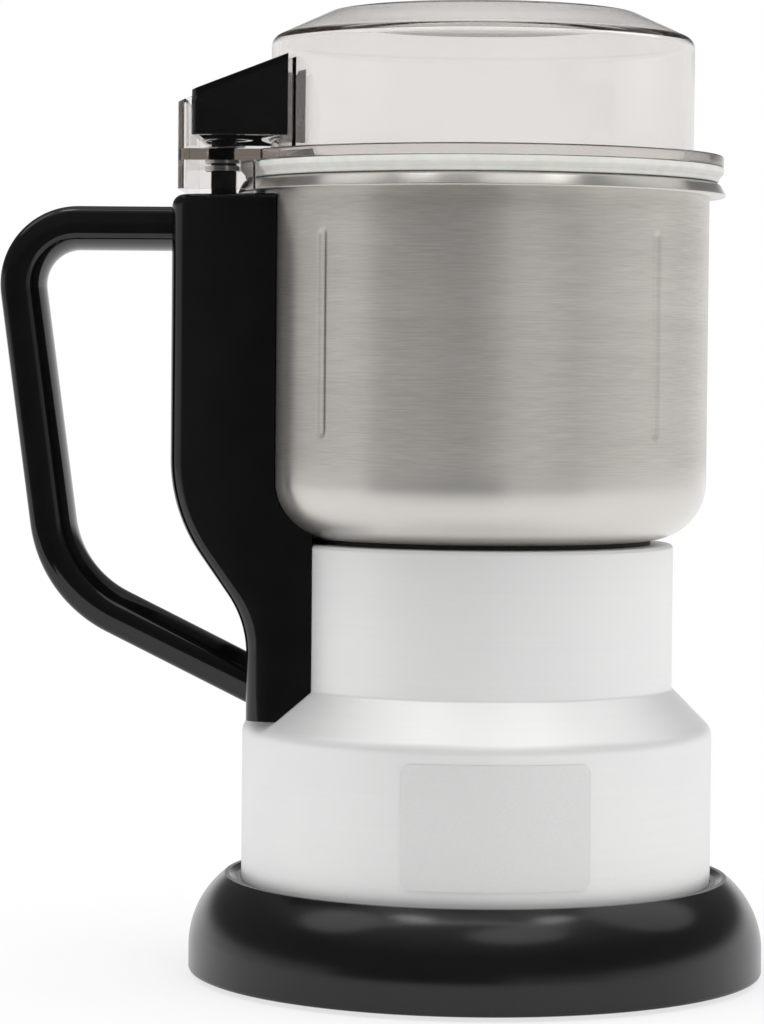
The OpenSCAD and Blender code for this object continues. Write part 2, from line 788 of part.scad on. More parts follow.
module grip_screws() {
    color([0.7, 0.7, 0.72]) {
        translate([-column_x + column_wall, 0, grip_z]) rotate([0, 90, 0])
            screw(grip_screw_r, grip_screw_len, grip_head_r, grip_head_t);
        translate([-column_low_x + column_wall, 0, grip_low_screw_z]) rotate([0, 90, 0])
            screw(grip_screw_r, grip_low_screw_len + 1, grip_head_r, grip_head_t);
    }
}

module power_switch() {
    color([0.15, 0.15, 0.16]) difference() {
        block([-switch_x, -switch_w / 2, switch_z], [-switch_x + switch_d, switch_w / 2, switch_top]);
        translate([-stem_x, 0, 0])
            rod(plunger_r + run_gap, plunger_top - plunger_len - button_travel - 1, switch_top + 1);
        for (y = [-switch_screw_y, switch_screw_y])
            rod_x(switch_screw_r + fit_gap, -switch_x - 1, -switch_x + switch_d + 1, y, switch_screw_z);
    }
}

module switch_screws() {
    color([0.7, 0.7, 0.72]) for (y = [-switch_screw_y, switch_screw_y])
        translate([-switch_x + switch_d, y, switch_screw_z]) rotate([0, 90, 0])
            screw(switch_screw_r, switch_d + 1.8, switch_head_r, switch_head_t);
}

module switch_wires() {
    color([0.5, 0.1, 0.1]) for (y = [-wire_y, wire_y])
        translate([0, y, 0]) bar(wire_path, wire_bends, arc(0, 0, wire_r, 0, 315, 7), 4);
}

module switch_plunger() {
    color([0.75, 0.12, 0.1]) translate([-stem_x, 0, 0]) rod(plunger_r, plunger_top - plunger_len, plunger_top);
}

module bracket_vents(z0, z1) {
    for (i = [0:3]) rotate([0, 0, 90 * i + 22.5]) for (a = [0, 45]) rotate([0, 0, a])
        translate([23, 0, 0]) rod(4.5, z0 - 1, z1 + 1);
}

module upper_bracket() {
    color([0.75, 0.76, 0.78]) difference() {
        union() {
            rod(bracket_r, upper_z, upper_z + bracket_t);
            rod(bush_r + bush_wall, upper_bush_z, upper_bush_z + bush_h);
            quarters(bowl_screw_x, 45) rod(4.5, upper_z + eps, neck_top - body_wall);
            for (y = [-bolt_x, bolt_x]) translate([0, y, 0]) rod(post_r, core_top, upper_z + eps);
        }
        rod(bush_r + 0.02, upper_bush_z - 1, upper_bush_z + bush_h + 1);
        bracket_vents(upper_z, upper_z + bracket_t);
        quarters(bowl_screw_x, 45) rod(bowl_screw_r + fit_gap, upper_z - 1, neck_top + 1);
        for (y = [-bolt_x, bolt_x]) translate([0, y, 0]) rod(bolt_hole, core_top - 1, upper_z + bracket_t + 1);
    }
}

module lower_bracket() {
    color([0.75, 0.76, 0.78]) difference() {
        union() {
            rod(bracket_r, lower_z, lower_top);
            rod(bush_r + bush_wall - 1, lower_bush_z, lower_bush_z + bush_h);
            for (y = [-bolt_x, bolt_x]) translate([0, y, 0]) rod(post_r, lower_top - eps, core_z);
        }
        rod(bush_r + 0.02, lower_bush_z - 1, lower_bush_z + bush_h + 1);
        bracket_vents(lower_z, lower_top);
        for (y = [-bolt_x, bolt_x]) translate([0, y, 0]) rod(bolt_hole, lower_z - 1, core_z + 1);
    }
}

module motor_bolts() {
    color([0.7, 0.7, 0.72]) for (y = [-bolt_x, bolt_x]) translate([0, y, 0]) {
        rod(bolt_r, lower_z - eps, upper_z + bracket_t + eps);
        rod(bolt_head, lower_z - bolt_head_t, lower_z);
        translate([0, 0, upper_z + bracket_t]) cylinder(r = bolt_head, h = bolt_head_t, $fn = 6);
    }
}

module motor_dampers() {
    color([0.2, 0.2, 0.2]) quarters(damper_x, 45) rotate_extrude() polygon([
        [0, lower_z - damper_h], [damper_r, lower_z - damper_h], [damper_r - 1.5, lower_z - damper_h / 2],
        [damper_r, lower_z], [0, lower_z]]);
}

module upper_bush() {
    color([0.7, 0.5, 0.25]) ring(bush_r, shaft_r + run_gap, upper_bush_z, upper_bush_z + bush_h);
}

module lower_bush() {
    color([0.7, 0.5, 0.25]) ring(bush_r, shaft_r + run_gap, lower_bush_z, lower_bush_z + bush_h);
}

// A wedge of half angle a, to both sides along X
module bow_tie(a, r, z0, z1) {
    translate([0, 0, z0]) linear_extrude(z1 - z0) for (s = [-1, 1])
        polygon([[0, 0], [s * r, -r * tan(a)], [s * r, r * tan(a)]]);
}

module field_core() {
    bore = rotor_r + air_gap;
    neck_end = core_r - yoke / 2;
    color([0.45, 0.45, 0.47]) difference() {
        union() {
            ring(core_r, core_r - yoke, core_z, core_top);
            intersection() {
                ring(bore + pole_t, bore, core_z, core_top);
                bow_tie(pole_a, core_r, core_z, core_top);
            }
            for (s = [-1, 1]) block(
                [s > 0 ? bore + 1 : -neck_end, -pole_w, core_z],
                [s > 0 ? neck_end : -bore - 1, pole_w, core_top]);
        }
        for (y = [-bolt_x, bolt_x]) translate([0, y, 0]) rod(bolt_hole, core_z - 1, core_top + 1);
    }
}

module field_coils() {
    color([0.72, 0.38, 0.16]) difference() {
        intersection() {
            ring(core_r - yoke - rest_gap, rotor_r + air_gap + pole_t + rest_gap,
                core_z - wind_h, core_top + wind_h);
            bow_tie(coil_a, core_r, core_z - wind_h - 1, core_top + wind_h + 1);
        }
        block([-far, -pole_w - rest_gap, core_z - rest_gap], [far, pole_w + rest_gap, core_top + rest_gap]);
    }
}

module both_sides() {
    for (a = [0, 180]) rotate([0, 0, a]) children();
}

module brush_holders() {
    inside = brush_w / 2 + rest_gap / 2;
    half = inside + holder_t;
    color([0.55, 0.4, 0.25]) both_sides() difference() {
        block([holder_in, -half, lower_top], [holder_out, half, brush_z + half]);
        block([holder_in - 1, -inside, brush_z - inside], [holder_out - holder_t, inside, brush_z + inside]);
    }
}

module carbon_brushes() {
    w = brush_w / 2;
    color([0.2, 0.2, 0.22]) both_sides() difference() {
        block([0, -w, brush_z - w], [comm_r + brush_len, w, brush_z + w]);
        rod(comm_r + 0.08, comm_z - 1, comm_z + comm_h + 1);
    }
}

module brush_springs() {
    start = comm_r + brush_len + rest_gap / 2;
    color([0.75, 0.75, 0.77]) both_sides() translate([start, 0, brush_z]) rotate([0, 90, 0])
        coil_spring(brush_w / 2 - 0.7, 0.6, spring_turns, holder_out - holder_t - rest_gap / 2 - start);
}

module motor_shaft() {
    color([0.72, 0.73, 0.75]) rotate_extrude() polygon([
        [0, shaft_z], [shaft_r - 0.5, shaft_z], [shaft_r, shaft_z + 0.5], [shaft_r, blade_z], [tip_r, blade_z],
        [tip_r, blade_z + 2 * blade_t + nut_h - 1.2], [0, blade_z + 2 * blade_t + nut_h - 1.2]]);
}

module armature_core() {
    slots = 12;
    color([0.42, 0.42, 0.44]) difference() {
        ring(rotor_r, shaft_r + 0.02, core_z, core_top);
        for (i = [0:slots - 1]) rotate([0, 0, 360 / slots * i])
            block([rotor_r - 4, -0.9, core_z - 1], [rotor_r + 1, 0.9, core_top + 1]);
    }
}

module armature_windings() {
    color([0.75, 0.4, 0.18]) {
        ring(rotor_r - 2, shaft_r + 0.3, core_z - wind_h, core_z);
        ring(rotor_r - 2, shaft_r + 0.3, core_top, core_top + wind_h);
    }
}

module commutator() {
    bars = 18;
    color([0.78, 0.48, 0.25]) difference() {
        union() {
            ring(comm_r, shaft_r + 0.02, comm_z, comm_z + comm_h);
            ring(comm_r + 1.4, shaft_r + 0.02, comm_z + comm_h - 1.6, comm_z + comm_h);
        }
        for (i = [0:bars - 1]) rotate([0, 0, 360 / bars * i])
            block([comm_r - 0.8, -0.25, comm_z - 1], [comm_r + 3, 0.25, comm_z + comm_h + 1]);
    }
}

module cooling_fan() {
    hub_r = shaft_r + 5;
    color([0.25, 0.26, 0.28]) difference() {
        union() {
            rod(hub_r, fan_z, fan_z + fan_h);
            rod(fan_r, fan_z, fan_z + 1.5);
            for (i = [0:fan_count - 1]) rotate([0, 0, 360 / fan_count * i])
                block([hub_r - 1, -0.7, fan_z + 1], [fan_r - 1, 0.7, fan_z + fan_h]);
        }
        rod(shaft_r + 0.02, fan_z - 1, fan_z + fan_h + 1);
    }
}

module blade_spacer() {
    color([0.75, 0.75, 0.77]) ring(shaft_r + 3, shaft_r + 0.02, floor_z + seal_lip + rest_gap, blade_z);
}

// A two-armed blade whose arms bend by an angle, tapering to the tips
module blade(z, bend) {
    flat = blade_half * 0.55;
    run = blade_half - flat;
    rise = run * tan(bend);
    tip = blade_w * 0.32;
    difference() {
        intersection() {
            across(blade_w) polygon([
                [-blade_half, z + rise], [-flat, z], [flat, z], [blade_half, z + rise],
                [blade_half, z + rise + blade_t], [flat, z + blade_t], [-flat, z + blade_t],
                [-blade_half, z + rise + blade_t]]);
            translate([0, 0, z - blade_half]) linear_extrude(2 * blade_half) polygon([
                [-blade_half, -tip], [0, -blade_w / 2], [blade_half, -tip],
                [blade_half, tip], [0, blade_w / 2], [-blade_half, tip]]);
        }
        rod(tip_r + 0.02, z - 1, z + blade_t + 1);
    }
}

module lower_blade() {
    color([0.8, 0.8, 0.82]) rotate([0, 0, blade_turn]) blade(blade_z, -lower_bend);
}

module upper_blade() {
    color([0.8, 0.8, 0.82]) rotate([0, 0, blade_turn + 90]) blade(blade_z + blade_t, upper_bend);
}

module blade_nut() {
    z = blade_z + 2 * blade_t;
    color([0.8, 0.8, 0.82]) difference() {
        intersection() {
            translate([0, 0, z]) cylinder(r = nut_r, h = nut_h, $fn = 6);
            rotate_extrude() polygon([[0, z], [nut_r, z], [nut_r, z + nut_h - 1], [nut_r - 2.2, z + nut_h],
                [0, z + nut_h]]);
        }
        rod(tip_r + 0.02, z - 1, z + nut_h - 1);
    }
}

// Top view of the button box, moved inwards by off
function box_plan_half(x, half, rc, off) = concat(
    [[-box_in, half - off]], arc(-x + rc, half - rc, rc - off, 90, 180, 4));

module box_plan(x, half, rc, off, z0, z1) {
    translate([0, 0, z0]) linear_extrude(z1 - z0)
        polygon(concat(box_plan_half(x, half, rc, off), flip(box_plan_half(x, half, rc, off))));
}

// Height of the box's sloping edge over the distance from the axis
function box_edge(x) = flange_z + box_h + (box_x - x) * tan(box_slope);

// Everything below the sloping edge, moved up by lift
module under_slope(z0, lift) {
    across(box_w) polygon([
        [-box_x - 5, z0], [-box_x - 5, box_edge(box_x + 5) + lift],
        [-box_in, box_edge(box_in) + lift], [-box_in, z0]]);
}

module lid_box() {
    difference() {
        intersection() {
            box_plan(box_x, box_w / 2, box_corner, 0, flange_z - box_skirt, lid_top);
            under_slope(flange_z - box_skirt, 0);
        }
        difference() {
            box_plan(box_x, box_w / 2, box_corner, box_wall, flange_z - box_skirt - 1, lid_top + 1);
            rod(far, flange_z, flange_top);
        }
        rod(lid_r - lid_wall / 2, flange_z - box_skirt - 1, lid_top);
        rod(rim_r + slide_gap, flange_z - box_skirt - 1, flange_z);
        block([-stem_x - stem_hole / 2, -stem_hole / 2, flange_z - 1],
            [-stem_x + stem_hole / 2, stem_hole / 2, flange_top + 1]);
    }
}

module lid() {
    wall_top = lid_top - lid_bevel - lid_shoulder;
    inner_r = lid_r - lid_wall;
    color([0.9, 0.86, 0.85, 0.4]) union() {
        rotate_extrude() polygon(concat(
            [[inner_r, flange_z - spigot_h], [lid_r, flange_z - spigot_h], [lid_r, flange_z],
                [flange_r, flange_z], [flange_r, flange_top], [lid_r, flange_top]],
            arc(lid_r - lid_shoulder, wall_top, lid_shoulder, 0, shoulder_a, 6),
            [[lid_flat_r, lid_top], [0, lid_top], [0, lid_top - lid_wall],
                [lid_flat_r - 0.5, lid_top - lid_wall]],
            back(arc(lid_r - lid_shoulder, wall_top, lid_shoulder - lid_wall, 0, shoulder_a, 4))));
        lid_box();
    }
}

module lid_seal() {
    in = lid_r + fit_gap;
    low = rim_z + rest_gap;
    color([0.86, 0.86, 0.84]) rotate_extrude() polygon([
        [in, low], [flange_r - 1.4, low], [flange_r - 1.2, low + seal_h * 0.25], [flange_r, low + seal_h * 0.6],
        [flange_r, flange_z], [in, flange_z]]);
}

module button_spring() {
    color([0.75, 0.75, 0.77]) translate([-stem_x, 0, flange_top + rest_gap / 2])
        coil_spring(spring_r, spring_wire, spring_turns, spring_len);
}

module button_wedge(off) {
    difference() {
        intersection() {
            box_plan(button_x, button_w / 2, button_corner, off, button_z - (off > 0 ? 1 : 0), lid_top);
            under_slope(button_z - (off > 0 ? 1 : 0), button_proud - off);
        }
        rod(lid_r + 0.6 + off, button_z - 2, lid_top + 1);
    }
}

module start_button() {
    color([0.06, 0.06, 0.06]) union() {
        difference() {
            union() {
                difference() {
                    button_wedge(0);
                    button_wedge(button_wall);
                }
                intersection() {
                    button_wedge(button_wall / 2);
                    translate([-stem_x, 0, 0]) rod(button_boss_r, button_z, lid_top);
                }
            }
            translate([-stem_x, 0, 0]) rod(pocket_r, button_z - 2, pocket_top);
        }
        difference() {
            block([-stem_x - stem_w / 2, -stem_w / 2, stem_tip],
                [-stem_x + stem_w / 2, stem_w / 2, pocket_top + 1]);
            translate([-stem_x, 0, 0])
                ring(far, stem_w / 2 - 0.6, flange_z - slide_gap - clip_t - 0.1, flange_z - slide_gap + 0.1);
        }
    }
}

module button_clip() {
    z = flange_z - slide_gap - clip_t;
    color([0.7, 0.7, 0.72]) translate([-stem_x, 0, 0]) difference() {
        rod(clip_r, z, z + clip_t);
        rod(stem_w / 2 - 0.5, z - 1, z + clip_t + 1);
        block([-far, -stem_w / 2 + 0.8, z - 1], [0, stem_w / 2 - 0.8, z + clip_t + 1]);
        block([clip_flat, -far, z - 1], [far, far, z + clip_t + 1]);
    }
}

foot_skirt();
bottom_cover();
foot_ring();
cover_screws();
cord_inlet();
terminal_block();
capacitor();
body_shell();
blank_label();
bowl_seat();
bowl();
bowl_screws();
shaft_seal();
handle_column();
handle_grip();
neck_screws();
grip_screws();
power_switch();
switch_screws();
switch_wires();
upper_bracket();
lower_bracket();
motor_bolts();
motor_dampers();
upper_bush();
lower_bush();
field_core();
field_coils();
brush_holders();
carbon_brushes();
brush_springs();
motor_shaft();
armature_core();
armature_windings();
commutator();
cooling_fan();
blade_spacer();
lower_blade();
upper_blade();
blade_nut();
lid();
lid_seal();
button_spring();
start_button();
button_clip();
switch_plunger();
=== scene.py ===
import bmesh
import bpy
import json
import math
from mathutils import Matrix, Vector


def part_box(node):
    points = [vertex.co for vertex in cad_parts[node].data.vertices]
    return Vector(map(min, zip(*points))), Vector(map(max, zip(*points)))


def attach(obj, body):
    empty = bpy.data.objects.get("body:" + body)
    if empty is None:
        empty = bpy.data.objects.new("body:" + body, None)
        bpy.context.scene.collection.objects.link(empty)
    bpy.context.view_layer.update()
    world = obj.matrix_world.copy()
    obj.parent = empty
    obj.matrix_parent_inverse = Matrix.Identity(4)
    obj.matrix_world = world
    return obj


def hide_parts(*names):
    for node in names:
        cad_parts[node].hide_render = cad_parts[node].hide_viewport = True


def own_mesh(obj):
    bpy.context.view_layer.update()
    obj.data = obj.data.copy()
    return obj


# Electric coffee grinder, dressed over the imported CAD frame. Lengths are millimetres until a mesh is made.
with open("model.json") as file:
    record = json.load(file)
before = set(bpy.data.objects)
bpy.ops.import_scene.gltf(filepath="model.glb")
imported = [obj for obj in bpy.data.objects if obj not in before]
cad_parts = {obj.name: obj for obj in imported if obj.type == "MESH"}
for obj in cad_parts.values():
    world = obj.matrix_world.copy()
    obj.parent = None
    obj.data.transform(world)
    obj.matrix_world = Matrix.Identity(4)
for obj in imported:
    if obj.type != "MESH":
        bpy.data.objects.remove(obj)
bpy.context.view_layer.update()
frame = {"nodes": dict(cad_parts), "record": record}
nodes = frame["nodes"]
scene = bpy.context.scene
mm = 0.001
print("frame loaded:", len(nodes), "nodes")


# Shared helpers: nodes, profiles, meshes

def hexLinear(code):  # sRGB hex to the linear colour that shaders take
    parts = [int(code[i:i + 2], 16) / 255 for i in (1, 3, 5)]
    return [c / 12.92 if c <= 0.04045 else ((c + 0.055) / 1.055) ** 2.4 for c in parts] + [1.0]


def addNode(tree, kind, inputs=None, stops=None, **settings):
    node = tree.nodes.new(kind)
    for key, value in settings.items():
        setattr(node, key, value)
    for key, value in (inputs or {}).items():
        if isinstance(value, bpy.types.NodeSocket):
            tree.links.new(value, node.inputs[key])
        else:
            node.inputs[key].default_value = value
    if stops:
        ramp = node.color_ramp
        while len(ramp.elements) < len(stops):
            ramp.elements.new(0.5)
        for element, (place, colour) in zip(ramp.elements, stops):
            element.position = place
            element.color = hexLinear(colour) if isinstance(colour, str) else [colour] * 3 + [1.0]
    return node


def startMaterial(name, **shader):  # a Principled material and its parts, with shader on its sockets
    material = bpy.data.materials.new(name)
    material.use_nodes = True
    tree = material.node_tree
    bsdf = tree.nodes["Principled BSDF"]
    for key, value in shader.items():
        bsdf.inputs[key.replace("_", " ")].default_value = value
    place = addNode(tree, "ShaderNodeTexCoord").outputs["Object"]
    return material, tree, bsdf, place


def wire(tree, bsdf, **sockets):  # joins outputs to the shader's sockets
    for key, socket in sockets.items():
        tree.links.new(socket, bsdf.inputs[key.replace("_", " ")])


def extent(node):  # a CAD node's corners in millimetres
    low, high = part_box(node)
    return low / mm, high / mm


def arc(cx, cz, r, start, end, count):
    angles = [math.radians(start + (end - start) * i / count) for i in range(count + 1)]
    return [(cx + r * math.cos(a), cz + r * math.sin(a)) for a in angles]


def rounded(corners, count=5):  # corners are (x, z, radius); each is cut by an arc of its radius
    line = []
    for i, (x, z, r) in enumerate(corners):
        here = Vector((x, z))
        if r == 0:
            line.append((x, z))
            continue
        a = (Vector(corners[i - 1][:2]) - here).normalized()
        b = (Vector(corners[(i + 1) % len(corners)][:2]) - here).normalized()
        half = a.angle(b) / 2
        centre = here + (a + b).normalized() * (r / math.sin(half))
        first = here + a * (r / math.tan(half)) - centre
        last = here + b * (r / math.tan(half)) - centre
        sweep = first.angle_signed(last)
        for k in range(count + 1):
            t = sweep * k / count
            c, s = math.cos(t), math.sin(t)
            line.append((centre.x + first.x * c + first.y * s, centre.y - first.x * s + first.y * c))
    return line


def meshPiece(name, points, faces, crease=35):
    mesh = bpy.data.meshes.new(name)
    mesh.from_pydata([[c * mm for c in p] for p in points], [], faces)
    return finishMesh(name, mesh, crease)


def finishMesh(name, mesh, crease):
    bm = bmesh.new()
    bm.from_mesh(mesh)
    bmesh.ops.remove_doubles(bm, verts=bm.verts, dist=1e-6)
    bmesh.ops.recalc_face_normals(bm, faces=bm.faces)
    bm.to_mesh(mesh)
    bm.free()
    mesh.shade_smooth()
    mesh.set_sharp_from_angle(angle=math.radians(crease))
    piece = bpy.data.objects.new(name, mesh)
    scene.collection.objects.link(piece)
    return piece


def loft(name, rings, crease=35, closed=False):  # skins rings of equal count; ends are capped unless closed
    count = len(rings[0])
    points = [p for ring in rings for p in ring]
    faces = []
    for i in range(len(rings) if closed else len(rings) - 1):
        a, b = i * count, (i + 1) % len(rings) * count
        faces += [(a + k, a + (k + 1) % count, b + (k + 1) % count, b + k) for k in range(count)]
    if not closed:
        faces += [tuple(range(count))[::-1], tuple(range(len(points) - count, len(points)))]
    return meshPiece(name, points, faces, crease)


def lathe(name, line, shape=None, crease=35, fine=()):  # turns a closed line of (radius, height) about Z
    close = {a % 3600 for spot in fine for a in range(spot - 30, spot + 31, 2)}
    turns = sorted({*range(0, 3600, 20)} | close)
    rings = []
    for tenth in turns:  # tenths of a degree; closer together round the places in fine
        a = math.radians(tenth / 10)
        bent = [(shape(r, z, a), z) if shape else (r, z) for r, z in line]
        rings.append([(r * math.cos(a), r * math.sin(a), z) for r, z in bent])
    return loft(name, rings, crease, closed=True)


def carve(piece, tool, way="DIFFERENCE", crease=35):  # boolean, applied; the tool piece is removed
    modifier = piece.modifiers.new("cut", "BOOLEAN")
    modifier.operation, modifier.solver, modifier.object = way, "EXACT", tool
    result = bpy.data.meshes.new_from_object(piece.evaluated_get(bpy.context.evaluated_depsgraph_get()))
    name, old = piece.name, piece.data
    for spent in (piece, tool):
        bpy.data.objects.remove(spent)
    bpy.data.meshes.remove(old)
    result.name = name
    return finishMesh(name, result, crease)


def rod(name, centre, r, length, axis, count=48):  # a round bar along one axis, as a cutter or a base
    u, v, w = {"x": (1, 2, 0), "y": (2, 0, 1), "z": (0, 1, 2)}[axis]
    rings = []
    for end in (-length / 2, length / 2):
        ring = []
        for i in range(count):
            p = list(centre)
            p[u] += r * math.cos(2 * math.pi * i / count)
            p[v] += r * math.sin(2 * math.pi * i / count)
            p[w] += end
            ring.append(p)
        rings.append(ring)
    return loft(name, rings)


def softEdges(piece, width, segments=2, angle=35):  # a small bevel on every edge sharper than angle
    bevel = piece.modifiers.new("softEdges", "BEVEL")
    bevel.width, bevel.segments, bevel.angle_limit = width * mm, segments, math.radians(angle)
    bevel.limit_method, bevel.harden_normals = "ANGLE", False
    return piece


def seat(piece, material, body, slot, *stoodFor):  # material, body, slot (not used) and the CAD nodes it stands for
    piece.data.materials.clear()
    piece.data.materials.append(material)
    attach(piece, body)
    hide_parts(*stoodFor)
    return piece


# Camera, light and floor

camera = {
    "eye": (0, -927, 153.4),  # level with the middle of the bowl
    "pitch": -2.332,
    "yaw": 1.517,
    "roll": -0.508,
    "lens": 130.1,
}
eye = bpy.data.objects.new("camera", bpy.data.cameras.new("camera"))
eye.data.lens, eye.data.sensor_width = camera["lens"], 36
eye.data.clip_start, eye.data.clip_end = 0.05, 50
eye.location = Vector(camera["eye"]) * mm
eye.rotation_mode = "XYZ"
eye.rotation_euler = [
    math.radians(90 + camera["pitch"]), math.radians(camera["roll"]), math.radians(camera["yaw"])]
scene.collection.objects.link(eye)
scene.camera = eye
scene.view_settings.view_transform = "Standard"
scene.cycles.max_bounces = 32  # light runs far along the lid's rounded edges before it leaves them
scene.cycles.glossy_bounces = 32
scene.cycles.transmission_bounces = 32

# A dim room round a white sweep, which is bright behind and beside the object and dark in front of it.
# Black gloss stays black in it, metal gets its soft bands, and clear plastic shows plain white
room = {
    "level": 0.88,  # what it lends to matt surfaces
    "sweep": (0.05, 0.22),  # soft upper edge of the white sweep, as the sine of its angle
    "bands": [  # degrees from the camera's side, towards the right, and the brightness of the sweep there
        (-180, 1.0), (-150, 1.0), (-120, 0.8), (-64, 0.65), (-50, 0.12), (-20, 0.05),
        (6, 0.08), (18, 0.5), (46, 0.5), (62, 0.8), (100, 1.0), (180, 1.0)],
    "walls": [  # sine of the angle, and the brightness above the sweep there
        (0.0, 0.13), (0.55, 0.13), (0.74, 0.28), (0.88, 0.42), (1.0, 0.42)],
    "back": (-0.2, 0.2),  # where the front gives way to the back, as the sine of the angle
}
world = bpy.data.worlds.new("studio")
world.use_nodes = True
scene.world = world
tree = world.node_tree
sky = tree.nodes["Background"]
outward = addNode(tree, "ShaderNodeTexCoord").outputs["Generated"]
way = addNode(tree, "ShaderNodeSeparateXYZ", {"Vector": outward})
front = addNode(tree, "ShaderNodeMath", {0: way.outputs["Y"], 1: -1.0}, operation="MULTIPLY")
bearing = addNode(
    tree, "ShaderNodeMath", {0: way.outputs["X"], 1: front.outputs[0]}, operation="ARCTAN2")
turn = addNode(
    tree, "ShaderNodeMapRange", {"Value": bearing.outputs[0], "From Min": -math.pi, "From Max": math.pi})
bands = addNode(
    tree, "ShaderNodeValToRGB", {"Fac": turn.outputs["Result"]},
    [((a + 180) / 360, level) for a, level in room["bands"]])
bands.color_ramp.interpolation = "EASE"
upper = addNode(tree, "ShaderNodeValToRGB", {"Fac": way.outputs["Z"]}, room["walls"])
climb = addNode(
    tree, "ShaderNodeMapRange",
    {"Value": way.outputs["Z"], "From Min": room["sweep"][0], "From Max": room["sweep"][1]},
    interpolation_type="SMOOTHSTEP")
wall = addNode(
    tree, "ShaderNodeMix",
    {0: climb.outputs["Result"], 6: bands.outputs["Color"], 7: upper.outputs["Color"]}, data_type="RGBA")
path = addNode(tree, "ShaderNodeLightPath").outputs
seen = addNode(
    tree, "ShaderNodeMath", {0: path["Is Camera Ray"], 1: path["Is Transmission Ray"]}, operation="MAXIMUM")
behind = addNode(
    tree, "ShaderNodeMapRange",
    {"Value": way.outputs["Y"], "From Min": room["back"][0], "From Max": room["back"][1]},
    interpolation_type="SMOOTHSTEP")
straightOn = addNode(tree, "ShaderNodeMath", {0: path["Glossy Depth"], 1: 0.5}, operation="LESS_THAN")
plain = addNode(
    tree, "ShaderNodeMath", {0: straightOn.outputs[0], 1: behind.outputs["Result"]}, operation="MAXIMUM")
through = addNode(
    tree, "ShaderNodeMath", {0: path["Is Transmission Ray"], 1: plain.outputs[0]}, operation="MULTIPLY")
mirrored = addNode(
    tree, "ShaderNodeMath", {0: path["Is Glossy Ray"], 1: through.outputs[0]},
    operation="SUBTRACT", use_clamp=True)  # clear plastic shows plain white straight through it
shown = addNode(
    tree, "ShaderNodeMix", {0: mirrored.outputs[0], 6: (1, 1, 1, 1), 7: wall.outputs[2]}, data_type="RGBA")
full = addNode(
    tree, "ShaderNodeMath", {0: seen.outputs[0], 1: path["Is Glossy Ray"]}, operation="MAXIMUM")
power = addNode(
    tree, "ShaderNodeMix", {0: full.outputs[0], 2: room["level"], 3: 1.0}, data_type="FLOAT")
tree.links.new(shown.outputs[2], sky.inputs["Color"])
tree.links.new(power.outputs[0], sky.inputs["Strength"])

# Soft boxes: place, aim and size in millimetres, watts
softBoxes = {
    "leftBox": {"at": (-318, -196, 1130), "aim": (0, 0, 130), "size": (260, 180), "watts": 0.45},
    "rightBox": {"at": (411, -149, 1130), "aim": (0, 0, 130), "size": (260, 180), "watts": 0.45},
    "keyBox": {"at": (300, -640, 1100), "aim": (0, 0, 130), "size": (720, 500), "watts": 0.9},
    "farLeft": {"at": (-900, -100, 1200), "aim": (0, 0, 130), "size": (700, 700), "watts": 1.2},
    "overStrip": {"at": (0, -330, 1150), "aim": (0, 0, 130), "size": (1300, 100), "watts": 0.5},
    "sideBox": {"at": (880, 320, 1050), "aim": (0, 0, 130), "size": (900, 900), "watts": 1.4},
    "topBox": {"at": (-60, 60, 1250), "aim": (0, 0, 120), "size": (1000, 800), "watts": 0.6},
}
for name, box in softBoxes.items():
    lamp = bpy.data.lights.new(name, "AREA")
    lamp.shape, lamp.energy = "ELLIPSE", box["watts"]
    lamp.size, lamp.size_y = [s * mm for s in box["size"]]
    holder = bpy.data.objects.new(name, lamp)
    holder.location = Vector(box["at"]) * mm
    holder.rotation_mode = "QUATERNION"
    holder.rotation_quaternion = (Vector(box["aim"]) - Vector(box["at"])).to_track_quat("-Z", "Y")
    scene.collection.objects.link(holder)

# Matt white paper sweep: takes the soft shadow, and reads as white to the camera
sheet = {
    "reach": 1900,
    "front": -450,  # it ends a little way in front of the object, towards the dark
    "level": -0.1,
    "fade": (70, 200),  # the shadow is strongest inside the first distance and gone past the second
    "white": 0.72,  # share of plain white where the shadow is strongest
    "mirrored": 0.5,  # share of plain white that gloss gets to see
}
paper, tree, bsdf, place = startMaterial("matte white paper", Roughness=0.9, Specular_IOR_Level=0.2)
fibre = addNode(tree, "ShaderNodeTexNoise", {"Vector": place, "Scale": 1 / (3 * mm), "Detail": 3.0})
tone = addNode(
    tree, "ShaderNodeValToRGB", {"Fac": fibre.outputs["Fac"]}, [(0.3, "#f4f4f4"), (0.7, "#f8f8f8")])
wire(tree, bsdf, Base_Color=tone.outputs["Color"])
glow = addNode(tree, "ShaderNodeEmission", {"Color": (1, 1, 1, 1), "Strength": 1.0})
rays = addNode(tree, "ShaderNodeLightPath").outputs
distance = addNode(tree, "ShaderNodeVectorMath", {0: place}, operation="LENGTH")
clear = addNode(
    tree, "ShaderNodeMapRange",
    {"Value": distance.outputs["Value"], "To Min": sheet["white"], "To Max": 1.0,
     "From Min": sheet["fade"][0] * mm, "From Max": sheet["fade"][1] * mm},
    interpolation_type="SMOOTHSTEP")
indirect = addNode(
    tree, "ShaderNodeMath",
    {0: rays["Is Glossy Ray"], 1: sheet["mirrored"], 2: rays["Is Transmission Ray"]},
    operation="MULTIPLY_ADD")
visible = addNode(
    tree, "ShaderNodeMath", {0: rays["Is Camera Ray"], 1: indirect.outputs[0]}, operation="MAXIMUM")
lift = addNode(
    tree, "ShaderNodeMath", {0: visible.outputs[0], 1: clear.outputs["Result"]}, operation="MULTIPLY")
sheetMix = addNode(
    tree, "ShaderNodeMixShader", {0: lift.outputs[0], 1: bsdf.outputs[0], 2: glow.outputs[0]})
tree.links.new(sheetMix.outputs[0], tree.nodes["Material Output"].inputs["Surface"])
floorTurns = [math.radians(a) for a in range(0, 360, 6)]
